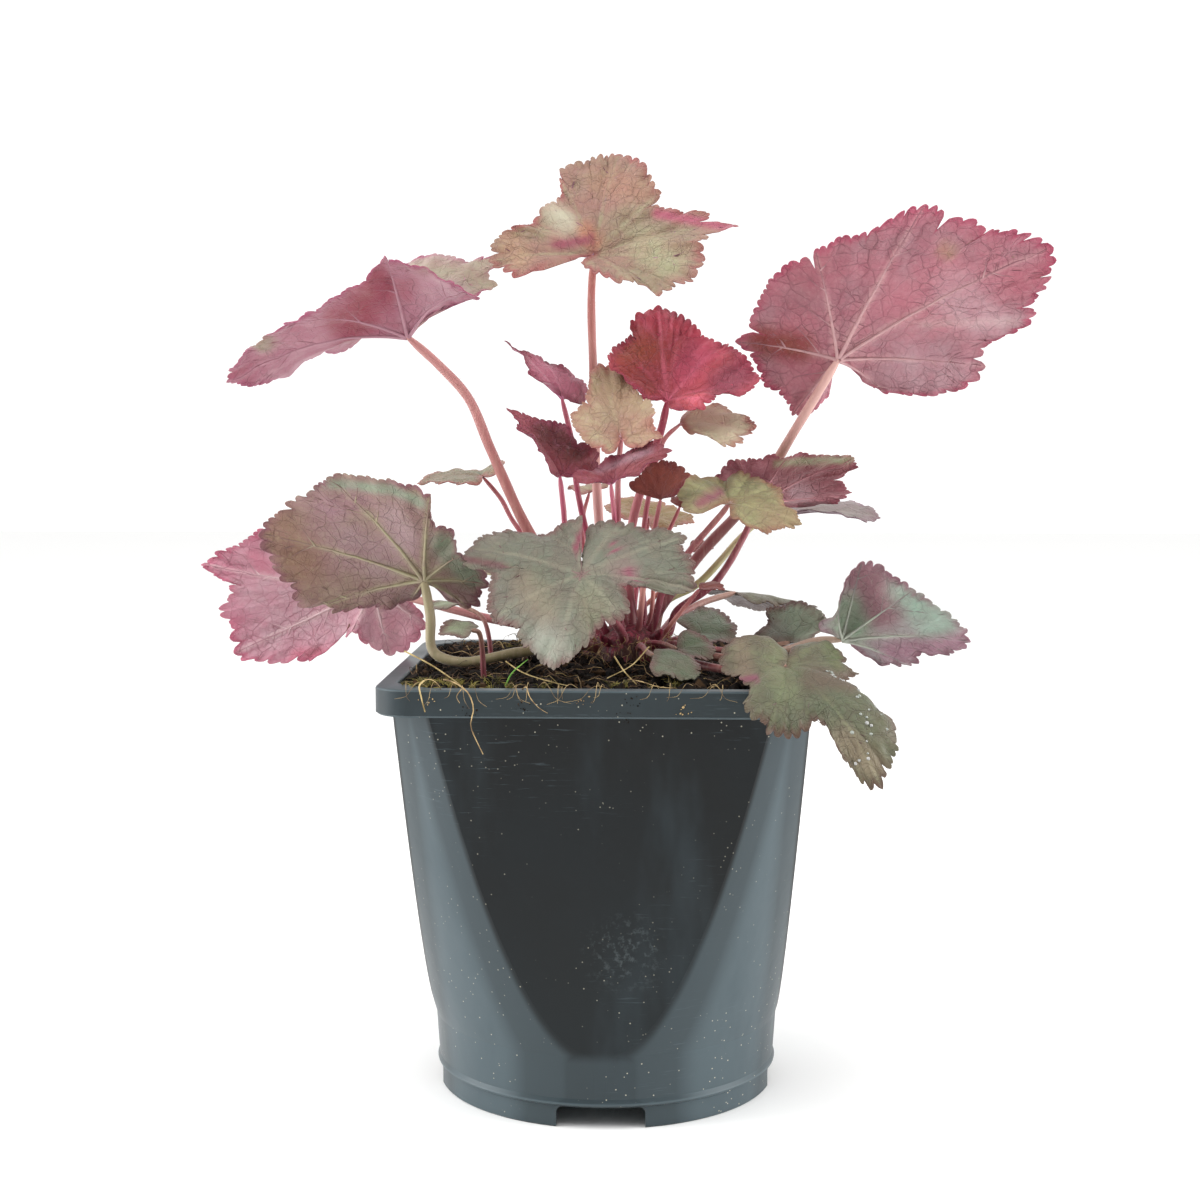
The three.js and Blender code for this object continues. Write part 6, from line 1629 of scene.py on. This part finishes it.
def stalk_object(leaf, paint):
    """The stalk, which flares at its foot and runs on a little way under the blade."""
    path = smooth_path([*stalk_start(leaf), *leaf["stem"], leaf["joint"]], STALK_STEPS)
    foot, top = leaf["thick"]
    share = np.linspace(0, 1, len(path))
    radii = foot + (top - foot) * share
    radii *= 1 + 0.35 * np.exp(-share / 0.03) + 0.03 * np.sin(share * 40)
    radii[-4:] *= (0.95, 0.85, 0.7, 0.5)
    return strands("stalk", [(path, radii)], paint, STALK_SIDES)


def hair_growth():
    """Short pointed hairs, scattered over a mesh and standing a little askew."""
    growth = Growth("hairs", Density="Float", Length="Float")
    inputs = {"Mesh": growth.value["Geometry"], "Density": growth.value["Density"], "Seed": 5}
    scatter = growth.node("GeometryNodeDistributePointsOnFaces", inputs, None)
    tilt = growth.random_vector((-0.5, -0.5, 0), (0.5, 0.5, 6.2))
    tilt = growth.node("FunctionNodeEulerToRotation", {0: tilt})
    inputs = {"Rotation": scatter["Rotation"], "Rotate By": tilt}
    turned = growth.node("FunctionNodeRotateRotation", inputs, rotation_space="LOCAL")
    length = growth.value["Length"]
    inputs = {"Vertices": 3, "Radius Bottom": HAIR_RADIUS * MM, "Radius Top": 0.0, "Depth": length}
    hair = growth.node("GeometryNodeMeshCone", inputs, "Mesh")
    size = growth.random_number(0.5, 1.1)
    inputs = {"Points": scatter["Points"], "Instance": hair, "Rotation": turned, "Scale": size}
    return growth.finish(growth.node("GeometryNodeInstanceOnPoints", inputs))


HAIRS = hair_growth()
hair_paint = Paint("pale_hairs", roughness=0.5)
hair_share = hair_paint.ramp(hair_paint.noise(hair_paint.object_place(), 200, 2), 0.4, 0.6)
hair_paint.colour(hair_paint.mixed(hair_share, "#d9b7ae", "#efe0d8"))


def hairs_on(stalk):
    source = add_object("hairs", stalk.data.copy())
    return HAIRS.grow(source, hair_paint, Density=HAIR_DENSITY / MM**2, Length=HAIR_LENGTH * MM)


water = Paint("clear_water", roughness=0.02, Transmission_Weight=0.6, IOR=1.33)
water_share = water.ramp(water.noise(water.object_place(), 300, 1), 0.4, 0.6)
water.colour(water.mixed(water_share, "#ffffff", "#dfe6df"))


def drops_on(blade, first, last, count):
    """Round drops that cling to the upper face between two tips."""
    draw = np.random.default_rng(3)
    turns = [blade.tip_turn(first), blade.tip_turn(last)]
    turn = draw.uniform(min(turns), max(turns), count)
    reach = draw.uniform(0.6, 0.93, count) * np.interp(turn, blade.turn, blade.edge)
    points, normals = blade.surface(turn, reach)
    bearings = [a * 2 * pi / DROP_SIDES for a in range(DROP_SIDES)]
    corners, faces = [], []
    for point, normal in zip(points, normals):
        size = draw.uniform(*DROP_SIZES)
        side = unit(np.cross(normal, (0.2, 0.3, 1.0)))
        up = np.cross(normal, side)
        rings = []
        for tilt in [pi * k / 6 for k in range(1, 6)]:
            middle = point + normal * (DROP_LIFT - DROP_HEIGHT * size * cos(tilt))
            wide = size * sin(tilt)
            rings.append([tuple(middle + wide * (side * cos(a) + up * sin(a))) for a in bearings])
        ends = [tuple(point + normal * (DROP_LIFT + way * DROP_HEIGHT * size)) for way in (-1, 1)]
        skin, patches = loft(rings, *ends)
        faces += [tuple(len(corners) + i for i in patch) for patch in patches]
        corners += skin
    drops = mesh_object("drops", corners, faces)
    face_outwards(drops)
    dress(drops, water)
    return drops


def codes(text):
    return [f"#{code}" for code in text.split()]


finishes = {}
for seed, (title, (slot, web, stalk)) in enumerate(TINTS.items()):
    skin = leaf_skin(f"blade_{title}", codes(web), seed + 1)
    vein = vein_flesh(f"veins_{title}", codes(web))
    finishes[title] = (slot, skin, vein, stalk_flesh(f"stalk_{title}", *codes(stalk)))

for name, leaf in LEAVES.items():
    slot, skin, vein, stalk = finishes[leaf["tint"]]
    blade = Blade(leaf)
    web = blade_object(blade, f"blade_{name}")
    dress(web, skin)
    web.data.set_sharp_from_angle(angle=radians(LEAF_SHARP_ANGLE))
    parts = [web, vein_object(blade, vein), stalk_object(leaf, stalk)]
    parts.append(hairs_on(parts[-1]))
    if "drops" in leaf:
        parts.append(drops_on(blade, *leaf["drops"]))
    piece = join_pieces(f"dressed_leaf_{name}", parts)
    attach(piece, "root")
    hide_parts(f"leaf_{name}")

# ---- The soil's litter ---------------------------------------------------------------------------
# Peat crumbs and bits of bark lie on the soil, among straw, dead roots and tufts of yellow moss. A
# few roots and straws hang over the rim in front. All of it lies loose or clings by its damp.

BED_RINGS = (0.06, 0.2, 0.34, 0.48, 0.62, 0.76, 0.88, 0.97)
# Crumbs, small and then large: how far apart, how many to a square metre, and their sizes.
CRUMB_BATCHES = (
    {"Apart": 0.9 * MM, "Density": 5e5, "Small": 0.4 * MM, "Large": 1.2 * MM, "Seed": 1},
    {"Apart": 2.6 * MM, "Density": 9e4, "Small": 1.2 * MM, "Large": 2.9 * MM, "Seed": 2},
)
BED_HALF_WIDTH = 60.5
FIBRE_FIELD = 56
FIBRE_STEPS = 7
FIBRE_BEND = 0.22
FIBRE_END = 0.05
MOSS_SHOOTS = 12
# Where moss grows: the middle of a patch, its half widths along x and y, and its count of tufts.
MOSS_PATCHES = [
    ((-54, -50), (5, 9), 14), ((-45, -54), (7, 6), 12), ((-30, -54), (8, 6), 10), ((-15, -55), (4, 4), 3),
    ((6, -54), (5, 4), 4), ((18, -48), (6, 5), 4), ((-20, 40), (16, 12), 10),
]
# Dirt on the rim's face: the middle of each small smear, along the rim and up it, and its half size.
RIM_DIRT = [(-49, 128.5), (-37, 126), (-21, 127.5), (-4, 129.2), (7, 124.6), (9, 129), (24, 127)]
DIRT_HALF_SIZE = (2.6, 1.6)
DIRT_GRAINS = {"Apart": 0.5 * MM, "Density": 6e5, "Small": 0.12 * MM, "Large": 0.38 * MM}
CROWN_ROOTS = 90
EDGE_ROOTS = 3
EDGE_ROOT_PLACES = (-50, -40, -27, -22, -8, 7, 22, 33)
# Single strands: points in millimetres from the pot's axis, and the radius at either end.
STRAND_SCALE = 0.78
STRAND_STEPS = 18
LOOSE_ROOTS = [
    ([(-45, -57, 134), (-42.3, -62, 134.2), (-39, -65.5, 133.2), (-36.7, -66.6, 131.2), (-35.4, -66.8, 127),
      (-36.3, -66.6, 122.4), (-34.5, -66.3, 117.5), (-32.8, -66.4, 114)], 0.32, 0.14),
    ([(-38.8, -66, 132.6), (-40.2, -66.4, 130.4), (-39.4, -66.3, 128.6)], 0.2, 0.08),
    ([(-51.5, -63, 131.6), (-50.4, -63.8, 134.2), (-48, -64, 135), (-45.8, -64, 133.6),
      (-44.8, -63.4, 131.4)], 0.22, 0.12),
    ([(-22, -62, 132), (-20.5, -65.2, 133), (-19.6, -66.4, 130.6), (-17, -66.4, 127.4),
      (-14.5, -66.2, 125.8)], 0.24, 0.1),
    ([(8, -58, 134.5), (12, -61, 134.2), (17, -62.5, 132.9), (22, -62.5, 132.6)], 0.2, 0.1),
]
LOOSE_STRAWS = [
    ([(-56.5, -55, 142), (-49, -56.5, 138.4), (-43.5, -57.5, 135), (-40, -58, 132.6)], 0.34, 0.22),
    ([(-49.8, -64.5, 134.6), (-50.8, -66.3, 133.4), (-50.2, -66.6, 130), (-49.2, -66.5, 126)], 0.34, 0.2),
    ([(4, -54, 140.6), (7, -56, 136.4), (10.5, -58, 133)], 0.3, 0.2),
    ([(14, -50, 143), (9, -54, 138), (2, -57, 134.6)], 0.26, 0.16),
    ([(-27, -58, 139.5), (-22, -59.5, 136.5), (-14, -60.5, 134), (-9, -60, 132.8)], 0.26, 0.14),
]
GREEN_BLADES = [([(-27, -58.5, 132.6), (-25, -60, 136.4), (-20.4, -60, 140.4)], 0.36, 0.12)]


def soil_bed():
    """The soil's top as an open sheet, to scatter crumbs over."""
    brim = body_ring(POT_HEIGHT - RIM_HEIGHT, WALL + GAP)
    points = [(x * share, y * share) for share in BED_RINGS for x, y, _ in brim]
    points = [(x, y, rough_soil_height(x, y)) for x, y in points]
    count = len(brim)
    faces = []
    for ring in range(len(BED_RINGS) - 1):
        for i in range(count):
            a, b = ring * count + i, ring * count + (i + 1) % count
            faces.append((a, a + count, b + count, b))
    return points, faces


def dirt_sheet(x, z):
    """A small upright sheet just in front of the rim's face, to scatter dirt over."""
    wide, high = DIRT_HALF_SIZE
    front = -(RIM_HALF_WIDTH + 0.15)
    return [(x + a * wide, front, z + b * high) for a, b in SQUARE], [(0, 1, 2, 3)]


def crumb_growth():
    """Angular lumps of random size and turn, scattered over a sheet."""
    growth = Growth("crumbs", Apart="Float", Density="Float", Small="Float", Large="Float", Seed="Int")
    value = growth.value
    inputs = {
        "Mesh": value["Geometry"], "Distance Min": value["Apart"], "Density Max": value["Density"],
        "Seed": value["Seed"],
    }
    kind = "GeometryNodeDistributePointsOnFaces"
    scatter = growth.node(kind, inputs, "Points", distribute_method="POISSON")
    turn = growth.random_vector((0, 0, 0), (6.28, 6.28, 6.28))
    size = growth.random_number(value["Small"], value["Large"])
    stretch = growth.random_vector((0.55, 0.55, 0.4), (1.5, 1.1, 0.9), 2)
    scale = growth.node("ShaderNodeVectorMath", {0: stretch, "Scale": size}, operation="SCALE")
    lump = growth.node("GeometryNodeMeshIcoSphere", {"Radius": 1.0, "Subdivisions": 1}, "Mesh")
    inputs = {"Points": scatter, "Instance": lump, "Rotation": turn, "Scale": scale}
    return growth.finish(growth.node("GeometryNodeInstanceOnPoints", inputs))


crumb_paint = Paint("peat_crumbs", roughness=0.9, Specular_IOR_Level=0.25)
place = crumb_paint.object_place()
crumb_share = crumb_paint.ramp(crumb_paint.noise(place, 420, 2, 0.6), 0.35, 0.66)
bark_share = crumb_paint.ramp(crumb_paint.noise(place, 260, 1), 0.6, 0.68, 0, 0.7)
crumb_paint.colour(crumb_paint.layered("#080605", (crumb_share, "#231a13"), (bark_share, "#5c452f")))
crumb_paint.relief(crumb_paint.noise(place, 1500, 3), 0.25)


def strand_paint(name, dark, light):
    paint = Paint(name, roughness=0.7)
    share = paint.ramp(paint.noise(paint.object_place(), 300, 3), 0.35, 0.65)
    paint.colour(paint.mixed(share, dark, light))
    return paint


STRAW = strand_paint("dry_straw", "#8a7444", "#c9b27c")
ROOT = strand_paint("dead_root", "#6b5234", "#c2a674")
FIBRE = strand_paint("brown_fibre", "#2c1e14", "#6b5034")
MOSS = strand_paint("yellow_moss", "#3f3c18", "#94873f")
GREEN = strand_paint("green_blade", "#4f8a2c", "#7fae4a")


def scattered_fibres(count, seed, lengths, radii):
    """Bent fibres lying about on the soil, some with an end that stands up."""
    draw = np.random.default_rng(seed)
    runs = []
    while len(runs) < count:
        x, y = draw.uniform(-FIBRE_FIELD, FIBRE_FIELD, 2)
        bearing, bend = draw.uniform(0, 2 * pi), draw.normal(0, FIBRE_BEND)
        length, rise = draw.uniform(*lengths), draw.uniform(-0.5, 3.2)
        points = []
        for k in range(FIBRE_STEPS + 1):
            lift = 0.5 + rise * sin(k / FIBRE_STEPS * pi * 0.8)
            points.append((x, y, rough_soil_height(x, y) + lift))
            x += cos(bearing) * length / FIBRE_STEPS
            y += sin(bearing) * length / FIBRE_STEPS
            bearing += bend + draw.normal(0, 0.2)
        if max(max(abs(p[0]), abs(p[1])) for p in points) < BED_HALF_WIDTH:
            runs.append((points, np.linspace(draw.uniform(*radii), FIBRE_END, FIBRE_STEPS + 1)))
    return runs


def moss_runs():
    """Tufts of short pointed shoots that lean all ways."""
    draw = np.random.default_rng(21)
    runs = []
    for middle, spread, tufts in MOSS_PATCHES:
        for _ in range(tufts):
            x, y = np.clip(np.array(middle) + draw.uniform(-1, 1, 2) * spread, -60, 60)
            base = np.array((x, y, rough_soil_height(x, y) + 0.3))
            for _ in range(MOSS_SHOOTS):
                lean = draw.normal(0, 0.55, 2)
                length = draw.uniform(1.2, 3.4)
                tip = base + length * np.array((*lean, draw.uniform(0.35, 0.9)))
                tip[:2] = np.clip(tip[:2], -61, 61)
                middle_point = (base + tip) / 2 + (0, 0, 0.25 * length)
                runs.append(([base + (*draw.normal(0, 0.5, 2), 0), middle_point, tip], (0.16, 0.13, 0.05)))
    return runs


def crown_roots():
    """Fine dry roots that stand out of the crown's foot and droop onto the soil."""
    draw = np.random.default_rng(31)
    runs = []
    for _ in range(CROWN_ROOTS):
        start, out = crown_point(draw.uniform(180, 380), draw.uniform(0.8, 0.99))
        length = draw.uniform(4, 12)
        points = [start]
        for k in range(5):
            sway = draw.normal(0, 0.4, 3)
            step = out * (1 - 0.2 * k) + sway - (0, 0, 0.35 * k)
            points.append(points[-1] + length / 5 * step)
            points[-1][2] = max(points[-1][2], rough_soil_height(*points[-1][:2]) + 0.3)
        runs.append((points, np.linspace(draw.uniform(0.08, 0.15), 0.05, 6)))
    return runs


def edge_roots():
    """Short hair-thin roots that lie over the rim's front edge and hang a little way down it."""
    draw = np.random.default_rng(41)
    runs = []
    for middle in EDGE_ROOT_PLACES:
        for _ in range(EDGE_ROOTS):
            x, sway = middle + draw.normal(0, 4.5), draw.normal(0, 1.8)
            drop = draw.uniform(-0.6, 1.0) + draw.uniform(0, 3.2) ** 2 / 3.2
            points = [
                (x, -59, rough_soil_height(x, -59) + 0.8),
                (x + sway, -62.5, 133 + draw.uniform(0, 1.2)),
                (x + 1.7 * sway, -65.6, 132.6),
                (x + 2.4 * sway, -66.1, 131 - 0.5 * drop),
                (x + 4 * sway, -65.8, 130.8 - drop),
            ]
            runs.append((smooth_path(points, 14), np.linspace(draw.uniform(0.07, 0.13), 0.04, 14)))
    return runs


def single_runs(placed):
    runs = []
    for points, start, end in placed:
        radii = STRAND_SCALE * np.linspace(start, end, STRAND_STEPS)
        runs.append((smooth_path(points, STRAND_STEPS), radii))
    return runs


CRUMBS = crumb_growth()
litter = [CRUMBS.grow(mesh_object("crumbs", *soil_bed()), crumb_paint, **batch) for batch in CRUMB_BATCHES]
# Fibres, straws and roots that lie about: how many, the seed, their lengths and their radii.
litter.append(strands("fibres", scattered_fibres(260, 11, (5, 16), (0.1, 0.22)), FIBRE))
litter.append(strands("straws", scattered_fibres(70, 12, (4, 13), (0.12, 0.26)), STRAW, 5))
litter.append(strands("roots", scattered_fibres(60, 13, (6, 18), (0.1, 0.2)), ROOT))
litter.append(strands("moss", moss_runs(), MOSS, 3))
for number, place in enumerate(RIM_DIRT):
    grain = crumb_paint if number % 3 else ROOT
    litter.append(CRUMBS.grow(mesh_object("dirt", *dirt_sheet(*place)), grain, Seed=number, **DIRT_GRAINS))
litter.append(strands("edge_roots", edge_roots(), ROOT))
litter.append(strands("crown_roots", crown_roots(), ROOT))
litter.append(strands("loose_roots", single_runs(LOOSE_ROOTS), ROOT, 7))
litter.append(strands("loose_straws", single_runs(LOOSE_STRAWS), STRAW, 7))
litter.append(strands("green_blades", single_runs(GREEN_BLADES), GREEN, 6))
soil_litter = join_pieces("soil_litter", litter)
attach(soil_litter, "root")
